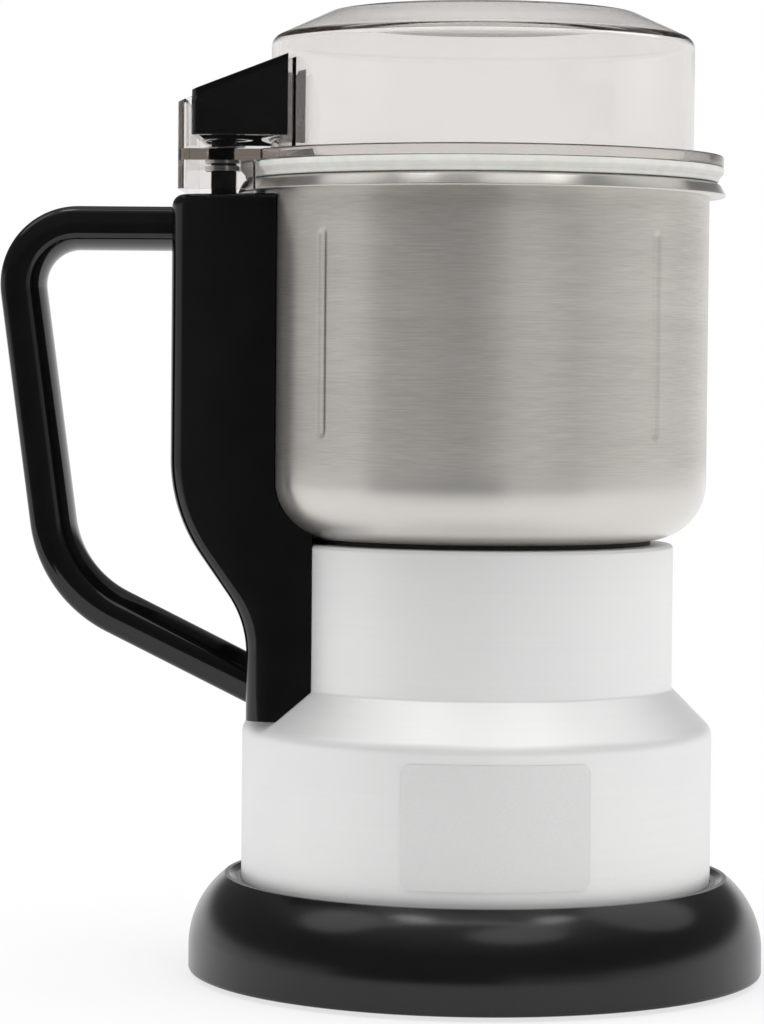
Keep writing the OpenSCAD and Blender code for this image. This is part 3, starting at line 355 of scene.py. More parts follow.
floorRing = [
    (sheet["reach"] * math.cos(a), max(sheet["front"], sheet["reach"] * math.sin(a)), sheet["level"])
    for a in floorTurns]
floor = meshPiece("paperFloor", floorRing, [tuple(range(len(floorRing)))])
floor.data.materials.append(paper)
print("camera, studio and floor set")


# Materials

# ABS, moulded in a polished tool: black with a sharp clear reflection, and only the faintest waviness
glossAbs, tree, bsdf, place = startMaterial("gloss black ABS, moulded", Roughness=0.07, IOR=1.5)
haze = addNode(tree, "ShaderNodeTexNoise", {"Vector": place, "Scale": 1 / (9 * mm), "Detail": 4.0})
tone = addNode(
    tree, "ShaderNodeValToRGB", {"Fac": haze.outputs["Fac"]}, [(0.3, "#0a0a0b"), (0.7, "#0e0e0f")])
sheen = addNode(
    tree, "ShaderNodeMapRange", {"Value": haze.outputs["Fac"], "To Min": 0.06, "To Max": 0.09})
flow = addNode(tree, "ShaderNodeTexNoise", {"Vector": place, "Scale": 1 / (26 * mm), "Detail": 1.0})
swell = addNode(
    tree, "ShaderNodeBump", {"Height": flow.outputs["Fac"], "Strength": 0.05, "Distance": 0.3 * mm})
wire(tree, bsdf, Base_Color=tone.outputs["Color"], Roughness=sheen.outputs["Result"],
     Normal=swell.outputs["Normal"])

# ABS, moulded in a lightly blasted tool: the foot's reflections are broad and soft
satinAbs, tree, bsdf, place = startMaterial("satin black ABS, moulded", Roughness=0.14, IOR=1.5)
grain = addNode(tree, "ShaderNodeTexNoise", {"Vector": place, "Scale": 1 / (0.9 * mm), "Detail": 4.0})
haze = addNode(tree, "ShaderNodeTexNoise", {"Vector": place, "Scale": 1 / (14 * mm), "Detail": 3.0})
tone = addNode(
    tree, "ShaderNodeValToRGB", {"Fac": haze.outputs["Fac"]}, [(0.3, "#0a0a0b"), (0.7, "#0e0e0f")])
sheen = addNode(
    tree, "ShaderNodeMapRange", {"Value": grain.outputs["Fac"], "To Min": 0.16, "To Max": 0.22})
pits = addNode(
    tree, "ShaderNodeBump", {"Height": grain.outputs["Fac"], "Strength": 0.06, "Distance": 0.05 * mm})
wire(tree, bsdf, Base_Color=tone.outputs["Color"], Roughness=sheen.outputs["Result"],
     Normal=pits.outputs["Normal"])

# Polypropylene, moulded with a spark-eroded grain: flat black without a reflection
mattePp, tree, bsdf, place = startMaterial("matte black polypropylene, moulded", IOR=1.49)
grain = addNode(
    tree, "ShaderNodeTexVoronoi", {"Vector": place, "Scale": 1 / (0.6 * mm)}, feature="SMOOTH_F1")
tone = addNode(
    tree, "ShaderNodeValToRGB", {"Fac": grain.outputs["Distance"]}, [(0.1, "#161617"), (0.8, "#222223")])
sheen = addNode(
    tree, "ShaderNodeMapRange", {"Value": grain.outputs["Distance"], "To Min": 0.55, "To Max": 0.72})
pits = addNode(
    tree, "ShaderNodeBump", {"Height": grain.outputs["Distance"], "Strength": 0.2, "Distance": 0.06 * mm})
wire(tree, bsdf, Base_Color=tone.outputs["Color"], Roughness=sheen.outputs["Result"],
     Normal=pits.outputs["Normal"])

# Aluminium sheet, spun over a former and lacquered satin: pale silver, soft reflections, faint lines
spinning = {"streak": 60, "spacing": 0.8, "cloud": 45}  # mm; real lines are finer
spunAluminium, tree, bsdf, place = startMaterial(
    "satin aluminium, spun", Metallic=0.44, Roughness=0.46, Anisotropic=0.2, Anisotropic_Rotation=0.25)
streak, spacing = spinning["streak"] * mm, spinning["spacing"] * mm
lines = addNode(
    tree, "ShaderNodeMapping", {"Vector": place, "Scale": [1 / streak, 1 / streak, 1 / spacing]})
turned = addNode(
    tree, "ShaderNodeTexNoise", {"Vector": lines.outputs["Vector"], "Scale": 1.0, "Detail": 3.0})
cloud = addNode(
    tree, "ShaderNodeTexNoise", {"Vector": place, "Scale": 1 / (spinning["cloud"] * mm), "Detail": 2.0})
blend = addNode(
    tree, "ShaderNodeMix", {0: 0.7, 2: turned.outputs["Fac"], 3: cloud.outputs["Fac"]}, data_type="FLOAT")
tone = addNode(
    tree, "ShaderNodeValToRGB", {"Fac": blend.outputs[0]}, [(0.3, "#efefef"), (0.7, "#f5f5f4")])
sheen = addNode(
    tree, "ShaderNodeMapRange", {"Value": turned.outputs["Fac"], "To Min": 0.43, "To Max": 0.49})
cuts = addNode(
    tree, "ShaderNodeBump", {"Height": turned.outputs["Fac"], "Strength": 0.02, "Distance": 0.05 * mm})
along = addNode(tree, "ShaderNodeTangent", direction_type="RADIAL", axis="Z")
wire(tree, bsdf, Tangent=along.outputs["Tangent"])
wire(tree, bsdf, Base_Color=tone.outputs["Color"], Roughness=sheen.outputs["Result"],
     Normal=cuts.outputs["Normal"])

# Stainless steel, drawn and brushed round: warm grey, streaked along the brush, light stretched across it.
# The rounding at the foot is out of the brush's reach and stays smoother and brighter.
brushing = {  # mm; real lines are finer
    "streak": 8, "spacing": 0.32, "drift": 125, "passes": 7, "smoothBelow": 121, "brushedAbove": 131,
    "rim": (193, 196)}
brushedSteel, tree, bsdf, place = startMaterial(
    "stainless steel, brushed", Metallic=1.0, Roughness=0.4, Anisotropic=0.95, Anisotropic_Rotation=0.25)
streak, spacing = brushing["streak"] * mm, brushing["spacing"] * mm
lines = addNode(
    tree, "ShaderNodeMapping", {"Vector": place, "Scale": [1 / streak, 1 / streak, 1 / spacing]})
streaks = addNode(
    tree, "ShaderNodeTexNoise",
    {"Vector": lines.outputs["Vector"], "Scale": 1.0, "Detail": 5.0, "Roughness": 0.65})
drift, across = brushing["drift"] * mm, brushing["passes"] * mm
broad = addNode(
    tree, "ShaderNodeMapping", {"Vector": place, "Scale": [1 / drift, 1 / drift, 1 / across]})
passes = addNode(
    tree, "ShaderNodeTexNoise", {"Vector": broad.outputs["Vector"], "Scale": 1.0, "Detail": 2.0})
height = addNode(tree, "ShaderNodeSeparateXYZ", {"Vector": place}).outputs["Z"]
upward = addNode(
    tree, "ShaderNodeMapRange",
    {"Value": height, "From Min": brushing["smoothBelow"] * mm, "From Max": brushing["brushedAbove"] * mm},
    interpolation_type="SMOOTHSTEP")
rimward = addNode(
    tree, "ShaderNodeMapRange",
    {"Value": height, "From Min": brushing["rim"][0] * mm, "From Max": brushing["rim"][1] * mm,
     "To Min": 1.0, "To Max": 0.0})
brushed = addNode(
    tree, "ShaderNodeMath", {0: upward.outputs["Result"], 1: rimward.outputs["Result"]},
    operation="MULTIPLY")
mark = addNode(
    tree, "ShaderNodeMix", {0: 0.3, 2: streaks.outputs["Fac"], 3: passes.outputs["Fac"]}, data_type="FLOAT")
tone = addNode(tree, "ShaderNodeValToRGB", {"Fac": mark.outputs[0]}, [(0.3, "#ccc8c2"), (0.7, "#ece8e2")])
mixed = addNode(
    tree, "ShaderNodeMix",
    {0: brushed.outputs[0], 6: hexLinear("#dcd9d4"), 7: tone.outputs["Color"]}, data_type="RGBA")
grit = addNode(
    tree, "ShaderNodeMapRange", {"Value": streaks.outputs["Fac"], "To Min": 0.36, "To Max": 0.46})
sheen = addNode(
    tree, "ShaderNodeMix", {0: brushed.outputs[0], 2: 0.28, 3: grit.outputs["Result"]}, data_type="FLOAT")
depth = addNode(tree, "ShaderNodeMath", {0: brushed.outputs[0], 1: 0.2}, operation="MULTIPLY")
cuts = addNode(
    tree, "ShaderNodeBump",
    {"Height": streaks.outputs["Fac"], "Strength": depth.outputs[0], "Distance": 0.05 * mm})
along = addNode(tree, "ShaderNodeTangent", direction_type="RADIAL", axis="Z")
wire(tree, bsdf, Base_Color=mixed.outputs[2], Roughness=sheen.outputs[0],
     Normal=cuts.outputs["Normal"], Tangent=along.outputs["Tangent"])

# SAN, moulded clear: hardly any tint through a wall, a brown-grey one where the eye looks along it
clearSan, tree, bsdf, place = startMaterial(
    "clear SAN, moulded", Roughness=0.02, IOR=1.42, Transmission_Weight=1.0)
wave = addNode(tree, "ShaderNodeTexNoise", {"Vector": place, "Scale": 1 / (22 * mm), "Detail": 1.0})
tone = addNode(
    tree, "ShaderNodeValToRGB", {"Fac": wave.outputs["Fac"]}, [(0.3, "#fbf9f8"), (0.7, "#fdfcfb")])
sheen = addNode(
    tree, "ShaderNodeMapRange", {"Value": wave.outputs["Fac"], "To Min": 0.01, "To Max": 0.04})
swell = addNode(
    tree, "ShaderNodeBump", {"Height": wave.outputs["Fac"], "Strength": 0.04, "Distance": 0.3 * mm})
tint = addNode(tree, "ShaderNodeVolumeAbsorption", {"Color": hexLinear("#776347"), "Density": 40.0})
wire(tree, bsdf, Base_Color=tone.outputs["Color"], Roughness=sheen.outputs["Result"],
     Normal=swell.outputs["Normal"])
tree.links.new(tint.outputs["Volume"], tree.nodes["Material Output"].inputs["Volume"])

# Silicone rubber, moulded milky white: soft matt skin that lets a little light in
whiteSilicone, tree, bsdf, place = startMaterial(
    "white silicone, moulded", IOR=1.41, Subsurface_Weight=0.15, Subsurface_Scale=0.6 * mm)
haze = addNode(tree, "ShaderNodeTexNoise", {"Vector": place, "Scale": 1 / (4 * mm), "Detail": 4.0})
tone = addNode(
    tree, "ShaderNodeValToRGB", {"Fac": haze.outputs["Fac"]}, [(0.3, "#dcdcd7"), (0.7, "#e6e6e1")])
sheen = addNode(
    tree, "ShaderNodeMapRange", {"Value": haze.outputs["Fac"], "To Min": 0.42, "To Max": 0.56})
skin = addNode(
    tree, "ShaderNodeBump", {"Height": haze.outputs["Fac"], "Strength": 0.06, "Distance": 0.05 * mm})
wire(tree, bsdf, Base_Color=tone.outputs["Color"], Roughness=sheen.outputs["Result"],
     Normal=skin.outputs["Normal"])

# Nitrile rubber, moulded: dull black with a dusty bloom
blackRubber, tree, bsdf, place = startMaterial("black nitrile rubber, moulded", IOR=1.52)
bloom = addNode(tree, "ShaderNodeTexNoise", {"Vector": place, "Scale": 1 / (1.2 * mm), "Detail": 6.0})
tone = addNode(
    tree, "ShaderNodeValToRGB", {"Fac": bloom.outputs["Fac"]}, [(0.3, "#171717"), (0.75, "#262626")])
sheen = addNode(
    tree, "ShaderNodeMapRange", {"Value": bloom.outputs["Fac"], "To Min": 0.62, "To Max": 0.85})
skin = addNode(
    tree, "ShaderNodeBump", {"Height": bloom.outputs["Fac"], "Strength": 0.15, "Distance": 0.08 * mm})
wire(tree, bsdf, Base_Color=tone.outputs["Color"], Roughness=sheen.outputs["Result"],
     Normal=skin.outputs["Normal"])

# Polyester label film, coated silver-grey: flat and even, with a fine metallic fleck
labelFilm, tree, bsdf, place = startMaterial("silver polyester film, coated", Metallic=0.35, Roughness=0.42)
fleck = addNode(tree, "ShaderNodeTexNoise", {"Vector": place, "Scale": 1 / (0.5 * mm), "Detail": 3.0})
tone = addNode(
    tree, "ShaderNodeValToRGB", {"Fac": fleck.outputs["Fac"]}, [(0.35, "#e2e2e2"), (0.65, "#e6e6e5")])
sheen = addNode(
    tree, "ShaderNodeMapRange", {"Value": fleck.outputs["Fac"], "To Min": 0.38, "To Max": 0.48})
wire(tree, bsdf, Base_Color=tone.outputs["Color"], Roughness=sheen.outputs["Result"])

# Finishes of the working parts, which share one build: a grain of a real size across and along, two tones,
# a spread of roughness and a shallow relief
workingFinishes = {
    "bright_steel": {  # turned and left bright: sharp reflections with fine lathe lines
        "name": "bright steel, turned", "tones": ("#c3c3c6", "#d9d9db"), "metal": 1.0,
        "rough": (0.14, 0.26), "grain": (12, 12, 0.4), "relief": 0.06},
    "cast_metal": {  # die cast: grey, frosted, with a flow pattern
        "name": "aluminium, die cast", "tones": ("#9fa1a3", "#bcbec0"), "metal": 1.0,
        "rough": (0.42, 0.6), "grain": (2, 2, 2), "relief": 0.2},
    "core_iron": {  # stacked sheets of electrical steel: dark bands, drawn coarser than real sheets
        "name": "silicon steel, laminated", "tones": ("#4a4a4d", "#77777a"), "metal": 1.0,
        "rough": (0.38, 0.6), "grain": (90, 90, 0.8), "relief": 0.35},
    "copper_wire": {  # enamelled wire, wound: orange-brown, glossy, ridged at the wire's spacing
        "name": "copper wire, enamelled", "tones": ("#8f4a1f", "#c77a3c"), "metal": 0.8,
        "rough": (0.18, 0.34), "grain": (30, 30, 0.6), "relief": 0.5},
    "bronze": {  # pressed and sintered: speckled, oily brown
        "name": "bronze, sintered", "tones": ("#8a6a38", "#b08c50"), "metal": 1.0,
        "rough": (0.36, 0.52), "grain": (0.6, 0.6, 0.6), "relief": 0.15},
    "carbon": {  # pressed graphite: grey-black with a faint glint
        "name": "carbon, pressed", "tones": ("#1c1c1e", "#333336"), "metal": 0.0,
        "rough": (0.4, 0.65), "grain": (0.5, 0.5, 0.5), "relief": 0.15},
    "pale_plastic": {  # natural nylon: warm ivory, slightly waxy
        "name": "natural nylon, moulded", "tones": ("#d6cfbd", "#e4dfd0"), "metal": 0.0,
        "rough": (0.36, 0.5), "grain": (3, 3, 3), "relief": 0.08},
    "film_yellow": {  # dipped in lacquer: yellow with slow waves and a wet gloss
        "name": "yellow lacquer, dipped", "tones": ("#b8901f", "#d2aa34"), "metal": 0.0,
        "rough": (0.1, 0.2), "grain": (7, 7, 7), "relief": 0.2},
    "red_plastic": {  # soft PVC: saturated red with a dull shine
        "name": "red PVC, extruded", "tones": ("#96191a", "#b02524"), "metal": 0.0,
        "rough": (0.32, 0.46), "grain": (1.5, 1.5, 6), "relief": 0.06},
}
finishes = {
    "black_gloss": glossAbs, "black_matte": mattePp, "black_rubber": blackRubber, "bowl_steel": brushedSteel,
    "body_aluminium": spunAluminium, "clear_plastic": clearSan, "white_silicone": whiteSilicone,
    "label_foil": labelFilm}
for slot, finish in workingFinishes.items():
    material, tree, bsdf, place = startMaterial(finish["name"], Metallic=finish["metal"])
    lines = addNode(
        tree, "ShaderNodeMapping", {"Vector": place, "Scale": [1 / (size * mm) for size in finish["grain"]]})
    grain = addNode(
        tree, "ShaderNodeTexNoise", {"Vector": lines.outputs["Vector"], "Scale": 1.0, "Detail": 4.0})
    tone = addNode(
        tree, "ShaderNodeValToRGB", {"Fac": grain.outputs["Fac"]},
        [(0.3, finish["tones"][0]), (0.7, finish["tones"][1])])
    sheen = addNode(
        tree, "ShaderNodeMapRange",
        {"Value": grain.outputs["Fac"], "To Min": finish["rough"][0], "To Max": finish["rough"][1]})
    cuts = addNode(
        tree, "ShaderNodeBump",
        {"Height": grain.outputs["Fac"], "Strength": finish["relief"], "Distance": 0.1 * mm})
    wire(tree, bsdf, Base_Color=tone.outputs["Color"], Roughness=sheen.outputs["Result"],
         Normal=cuts.outputs["Normal"])
    finishes[slot] = material
for part in frame["record"]["subparts"]:
    skin = nodes[part["node"]].data.materials
    skin.clear()
    skin.append(finishes[part["material_slot"]])
print("materials made:", len(bpy.data.materials))


# Pieces

# Foot: a moulded skirt that swells towards the table, with a ledge and a small bevel round the body
low, high = extent("foot_skirt")
bodyLow, bodyHigh = extent("body_shell")
inletLow, inletHigh = extent("cord_inlet")
foot = {
    "wall": 2.6,
    "flank": 22.6,  # radius of the rounded side
    "lip": 1.3,
    "bevel": 1.6,
    "ledge": 1.1,
    "step": 0.8,  # drop of the bevel
    "web": 3.5,
    "base": (0.25, 0.8),  # bevel at the table, in two cuts
    "bodyGap": 0.15,
    "cordGap": 0.15,
    "holeDeep": 20,
    "softEdge": 0.22,
}
opening = bodyHigh.x + foot["bodyGap"]
ledgeIn = opening + foot["lip"] + foot["bevel"]
run = high.x - ledgeIn - foot["ledge"]
flankZ = high.z - math.sqrt(foot["flank"] ** 2 - (foot["flank"] - run) ** 2)
flankX = high.x - foot["flank"]


def flankLine(off, top):
    r = foot["flank"] - off
    return arc(flankX, flankZ, r, 0, math.degrees(math.asin((top - flankZ) / r)), 40)


smallCut, bigCut = foot["base"]
skirtLine = [
    (high.x - foot["wall"], low.z), (high.x - bigCut, low.z), (high.x - smallCut, low.z + smallCut),
    (high.x, low.z + bigCut)]
skirtLine += flankLine(0, high.z)
skirtLine += [
    (ledgeIn, high.z), (opening + foot["lip"], high.z - foot["step"]), (opening, high.z - foot["step"]),
    (opening, high.z - foot["web"])]
skirtLine += flankLine(foot["wall"], high.z - foot["web"])[::-1]
footSkirt = lathe("footSkirt", skirtLine, crease=20)
inletZ = (inletLow.z + inletHigh.z) / 2
inletR = (inletHigh.x - inletLow.x) / 2 + foot["cordGap"]
inletHole = rod("inletHole", (0, high.y, inletZ), inletR, foot["holeDeep"], "y")
footSkirt = carve(footSkirt, inletHole, crease=20)
seat(softEdges(footSkirt, foot["softEdge"], 3, 20), satinAbs, "housing", "black_gloss", "foot_skirt")

# Body: spun shell with a rolled shoulder, a cone and a straight neck
low, high = bodyLow, bodyHigh
body = {
    "wall": 1.2,
    "neck": 48.7,
    "shoulder": 4.5,
    "cornerZ": 62.3,
    "neckZ": 72.5,
    "root": 1.2,  # fillet between cone and neck
    "topEdge": 1.0,
    "topHole": 20.0,
    "innerDrop": 1.0,  # of the inside of the shoulder
}
cone = math.degrees(math.atan2(high.x - body["neck"], body["neckZ"] - body["cornerZ"]))
lean = math.tan(math.radians(cone / 2))
shellLine = [(high.x, low.z)]
shellLine += arc(
    high.x - body["shoulder"], body["cornerZ"] - body["shoulder"] * lean, body["shoulder"], 0, cone, 16)
shellLine += arc(
    body["neck"] + body["root"], body["neckZ"] + body["root"] * lean, body["root"], 180 + cone, 180, 8)
shellLine += arc(body["neck"] - body["topEdge"], high.z - body["topEdge"], body["topEdge"], 0, 90, 6)
shellLine += [(body["topHole"], high.z), (body["topHole"], high.z - body["wall"])]
neckIn, shellIn = body["neck"] - body["wall"], high.x - body["wall"]
shellLine += [
    (neckIn, high.z - body["wall"]), (neckIn, body["neckZ"]),
    (shellIn, body["cornerZ"] - body["innerDrop"]), (shellIn, low.z)]
bodyShell = lathe("bodyShell", shellLine, crease=25)
seat(bodyShell, spunAluminium, "housing", "body_aluminium", "body_shell")

# Label: a blank rounded sheet, bent round the body and turned a little to the right
low, high = extent("blank_label")
label = {"width": 45.0, "corner": 2.5, "turn": 5.0, "thick": 0.3, "lift": 0.03}
corner, half = label["corner"], label["width"] / 2
labelIn = bodyHigh.x + label["lift"]
labelOut = labelIn + label["thick"]
rounding = sorted({half - corner + corner * math.sin(math.radians(a)) for a in range(0, 91, 9)})
strips = [-u for u in rounding[::-1]] + [half * k / 12 for k in range(-10, 11)] + rounding
rings = []
for u in sorted(strips):
    d = max(0, abs(u) - half + corner)
    trim = corner - math.sqrt(max(0, corner * corner - d * d))
    a = math.radians(label["turn"] - 90) + math.asin(u / labelIn)
    z0, z1 = low.z + trim, high.z - trim + 1e-4
    strip = ((labelIn, z0), (labelOut, z0), (labelOut, z1), (labelIn, z1))
    rings.append([(r * math.cos(a), r * math.sin(a), z) for r, z in strip])
seat(loft("blankLabel", rings), labelFilm, "housing", "label_foil", "blank_label")
print("foot, body and label made")

# Bowl: drawn pot with four pressed ribs and a rolled rim
low, high = extent("bowl")
bowl = {
    "r": 56.7,
    "wall": 1.0,
    "corner": 14.5,
    "hole": 9.15,
    "rimDrop": 3.1,
    "rimThick": 1.1,
    "rimRoot": 2.0,  # how far out the rim's underside is flat
    "rimRoll": 2.6,  # how far out its top is flat
    "rimBelow": 3.0,
    "ribTurn": 3.0,  # degrees from the diagonals
    "ribFrom": 134.5,
    "ribTo": 185.5,
    "ribHalf": 2.0,
    "ribDeep": 0.4,
}
ribAngles = [math.radians(45 + bowl["ribTurn"] + 90 * k) for k in range(4)]


def pressedRibs(r, z, angle):
    if r < bowl["r"] - bowl["wall"] - 0.05 or r > bowl["r"] + 0.05:  # not the wall
        return r
    half = bowl["ribHalf"]
    for rib in ribAngles:
        across = math.remainder(angle - rib, 2 * math.pi) * bowl["r"] / half
        past = max(0, bowl["ribFrom"] + half - z, z - bowl["ribTo"] + half) / half
        away = math.hypot(across, past)
        if away < 1:
            return r - bowl["ribDeep"] * (0.5 + 0.5 * math.cos(math.pi * away))
    return r


inside = bowl["r"] - bowl["wall"]
rimTop, floorZ = high.z, low.z + bowl["wall"]
rimUnder, rimLow = rimTop - bowl["rimThick"], rimTop - bowl["rimDrop"]
wallHeights = [low.z + bowl["corner"] + 3 * k for k in range(4)]
wallHeights += [bowl["ribFrom"] + 0.3 * k for k in range(9)]
wallHeights += [bowl["ribFrom"] + 6 * k for k in range(1, 8)]
wallHeights += [bowl["ribTo"] - 0.3 * k for k in range(8, -1, -1)] + [rimTop - bowl["rimBelow"]]
bowlLine = [(bowl["hole"], low.z)]
bowlLine += arc(bowl["r"] - bowl["corner"], low.z + bowl["corner"], bowl["corner"], -90, 0, 24)
bowlLine += [(bowl["r"], z) for z in wallHeights[1:]]
bowlLine += rounded([
    (bowl["r"], rimUnder, 0.4), (bowl["r"] + bowl["rimRoot"], rimUnder, 0.4),
    (high.x - 0.5, rimLow - 0.3, 0.25), (high.x, rimLow + 0.2, 0.3),
    (bowl["r"] + bowl["rimRoll"], rimTop, 1.4), (inside, rimTop, 0.5)])[6:]
bowlLine += [(inside, z) for z in wallHeights[:0:-1]]
cornerIn = bowl["corner"] - bowl["wall"]
bowlLine += arc(inside - cornerIn, low.z + bowl["corner"], cornerIn, 0, -90, 20)
bowlLine += [(bowl["hole"], floorZ)]
bowlPot = lathe(
    "bowlPot", bowlLine, pressedRibs, 40, [round(math.degrees(a) * 10) for a in ribAngles])
seat(bowlPot, brushedSteel, "housing", "bowl_steel", "bowl")

# Seal: a soft lip between the rim and the lid's flange
low, high = extent("lid_seal")
seal = {"bore": 52.85, "lipIn": 1.4, "airGap": 0.06}  # the gap keeps its skin clear of the flange's
sealTop = high.z - seal["airGap"]
sealLine = rounded([
    (seal["bore"], low.z, 0.3), (high.x - seal["lipIn"], low.z, 0.4), (high.x - 1.2, low.z + 1.0, 0.5),
    (high.x, low.z + 2.3, 0.7), (high.x, sealTop, 0.3), (seal["bore"], sealTop, 0.3)])
seat(lathe("lidSeal", sealLine), whiteSilicone, "lid", "white_silicone", "lid_seal")
print("bowl and seal made")

# Handle column: a hollow moulding behind bowl and neck, sliced level by level
columnLow, columnHigh = extent("handle_column")
plungerLow, plungerHigh = extent("switch_plunger")
column = {
    "outer": -columnLow.x,
    "lower": 56.7,  # outer face beside the neck
    "half": 27.3,
    "faceHalf": 19.5,
    "sideX": 50.5,
    "edge": 5.0,
    "crown": 3.0,
    "topEdge": 0.9,
    "bendTop": 129.0,
    "bendA": 36.0,
    "bendR": (40.0, 25.0),
    "wall": 2.6,
    "roof": 4.0,
    "hollowTo": 38.0,  # how near the axis the hollow is cut
    "gap": 0.15,  # to bowl and body
    "stemX": -(plungerLow.x + plungerHigh.x) / 2,
    "stemHole": 6.9,
}
slope = (column["half"] - column["faceHalf"]) / (column["outer"] - column["sideX"])
upperR, lowerR = column["bendR"]
tilt = math.radians(column["bendA"])
straight = (column["outer"] - column["lower"] - (upperR + lowerR) * (1 - math.cos(tilt))) / math.sin(tilt)
bendLow = column["bendTop"] - (upperR + lowerR) * math.sin(tilt) - straight * math.cos(tilt)


def columnSide(off):  # (distance from the axis, height) of the outer face, from the top down
    crown = 0.5 if off else column["crown"]
    top = columnHigh.z - (column["roof"] if off else 0)
    line = [
        (column["outer"] - off - crown + crown * math.sin(a), top - crown + crown * math.cos(a))
        for a in [math.radians(9 * k) for k in range(0, 11)]]
    line += [(column["outer"] - off, column["bendTop"] + 6 * k) for k in range(9, 0, -1)]
    upperX = column["outer"] - upperR
    line += [
        (upperX + (upperR - off) * math.cos(a), column["bendTop"] - (upperR - off) * math.sin(a))
        for a in [tilt * k / 16 for k in range(17)]]
    line += [
        (column["lower"] + lowerR - (lowerR + off) * math.cos(a), bendLow + (lowerR + off) * math.sin(a))
        for a in [tilt * k / 12 for k in range(12, -1, -1)]]
    return line + [(column["lower"] - off, columnLow.z + off)]


def bearer(z):  # radius of the bowl or body that the column is shaped round
    bowlLow = extent("bowl")[0]
    if z >= bowlLow.z:
        up = min(z - bowlLow.z, bowl["corner"])
        r = bowl["r"] - bowl["corner"] + math.sqrt(bowl["corner"] ** 2 - (bowl["corner"] - up) ** 2)
        return max(r, body["neck"]) + column["gap"]
    if z >= body["neckZ"]:
        return body["neck"] + column["gap"]
    widening = (bodyHigh.x - body["neck"]) / (body["neckZ"] - body["cornerZ"])
    return body["neck"] + (body["neckZ"] - z) * widening + column["gap"]


def columnSlice(x, z, off):
    inset = off / math.cos(math.atan(slope))
    if not off and z > columnHigh.z - column["topEdge"]:
        r = column["topEdge"]
        inset += r - math.sqrt(max(0, r * r - (z - columnHigh.z + r) ** 2))
    sideHalf = column["half"] - inset
    faceHalf = sideHalf - slope * (x - column["sideX"])
    edge = min(column["edge"], x - column["sideX"] - 0.5) - off * 0.5
    front = rounded([(-x, 0, 0), (-x, -faceHalf, edge), (-column["sideX"], -sideHalf, 0)], 8)
    front = [(front[0][0], 0)] + [(-x, -faceHalf * k / 6) for k in range(1, 5)] + front[1:]
    if off:
        front += [(-column["hollowTo"], -sideHalf)]
        return [(px, py, z) for px, py in front + [(px, -py) for px, py in front[:0:-1]]]
    r = bearer(z)
    front += [(-math.sqrt(r * r - y * y), -y) for y in [sideHalf * k / 14 for k in range(14, 0, -1)]]
    return [(px, py, z) for px, py in front + [(-r, 0)] + [(px, -py) for px, py in front[:0:-1]]]


side = columnSide(0)
levels = side[:-1] + [(column["lower"], body["neckZ"] + 0.3 * k) for k in (2, 1, 0)] + side[-1:]
shell = loft("handleColumn", [columnSlice(x, z, 0) for x, z in levels], 25)
inset = column["wall"]
hollow = loft("columnHollow", [columnSlice(x, z, inset) for x, z in columnSide(inset)], 25)
shell = carve(shell, hollow, crease=25)
quarters = ((1, 1), (-1, 1), (-1, -1), (1, -1))
holeHalf = column["stemHole"] / 2
square = [(-column["stemX"] + a * holeHalf, b * holeHalf) for a, b in quarters]


def squareCut(name, bottom, top):
    return loft(name, [[(x, y, z) for x, y in square] for z in (bottom, top)])


shell = carve(shell, squareCut("stemHole", columnHigh.z - 6, columnHigh.z + 2), crease=25)
seat(shell, glossAbs, "housing", "black_gloss", "handle_column")
print("handle column made:", len(levels), "levels")

# Handle loop: one bar with a flat front, a sharp line and a bulging inner side, bent round the fingers
low, high = extent("handle_grip")
grip = {
    "path": [(-73.5, 185.9), (-116.1, 185.9), (-104.3, 97.2), (-56.2, 73.4)],  # corners of the centre line
    "bends": [14.0, 29.4],
    "thick": 10.8,
    "wide": 20.0,
    "edge": 2.5,
    "bulge": 3.4,
    "crown": 0.28,  # of the front and back faces
    "line": 1.5,  # rounding of the sharp line
    "tail": 4.0,  # how far the lower end runs on, to the column's face
    "neckGap": 1.0,
    "neckCut": (90, 60),  # height of the middle of the neck's cutter, and its length
}


def gripLine():  # points and headings along the loop
    corners, line = [Vector(p) for p in grip["path"]], []
    for i in (1, 2):
        before = (corners[i] - corners[i - 1]).normalized()
        after = (corners[i + 1] - corners[i]).normalized()
        turn = -before.angle_signed(after)
        start = corners[i] - before * (grip["bends"][i - 1] * math.tan(abs(turn) / 2))
        heading = math.atan2(before.y, before.x)
        normal = Vector((-before.y, before.x)) * (1 if turn > 0 else -1)
        centre = start + normal * grip["bends"][i - 1]
        for k in range(29):
            q = heading + turn * k / 28
            out = Vector((math.sin(q), -math.cos(q))) * (1 if turn > 0 else -1)
            line.append((centre + out * grip["bends"][i - 1], q))
    first, last = corners[1] - corners[0], corners[3] - corners[2]
    tail = corners[3] + last.normalized() * grip["tail"]
    return [(corners[0], math.atan2(first.y, first.x))] + line + [(tail, math.atan2(last.y, last.x))]


t, w, edge = grip["thick"] / 2, grip["wide"] / 2, grip["edge"]
bulgeR = (w * w + grip["bulge"] ** 2) / (2 * grip["bulge"])
bulgeA = math.degrees(math.asin(w / bulgeR))
faceTop, faceEnd = edge - t, t - grip["bulge"]
soft = grip["line"]
bulged = bulgeA - math.degrees(soft / bulgeR)
section = arc(t - bulgeR, 0, bulgeR, -bulged, bulged, 24)
crowned = [
    (faceEnd + (faceTop - faceEnd) * k / 8, w + grip["crown"] * (1 - (k / 4 - 1) ** 2)) for k in range(1, 8)]
inward, peak = Vector(section[-1]), Vector((faceEnd, w))
onward = Vector((faceEnd - soft, w + grip["crown"] * 0.3))
eased = [tuple(inward.lerp(peak, k / 4).lerp(peak.lerp(onward, k / 4), k / 4)) for k in range(1, 5)]
section = [(p, -y) for p, y in eased[::-1]] + section + eased
section += crowned + arc(faceTop, w - edge, edge, 90, 180, 8)
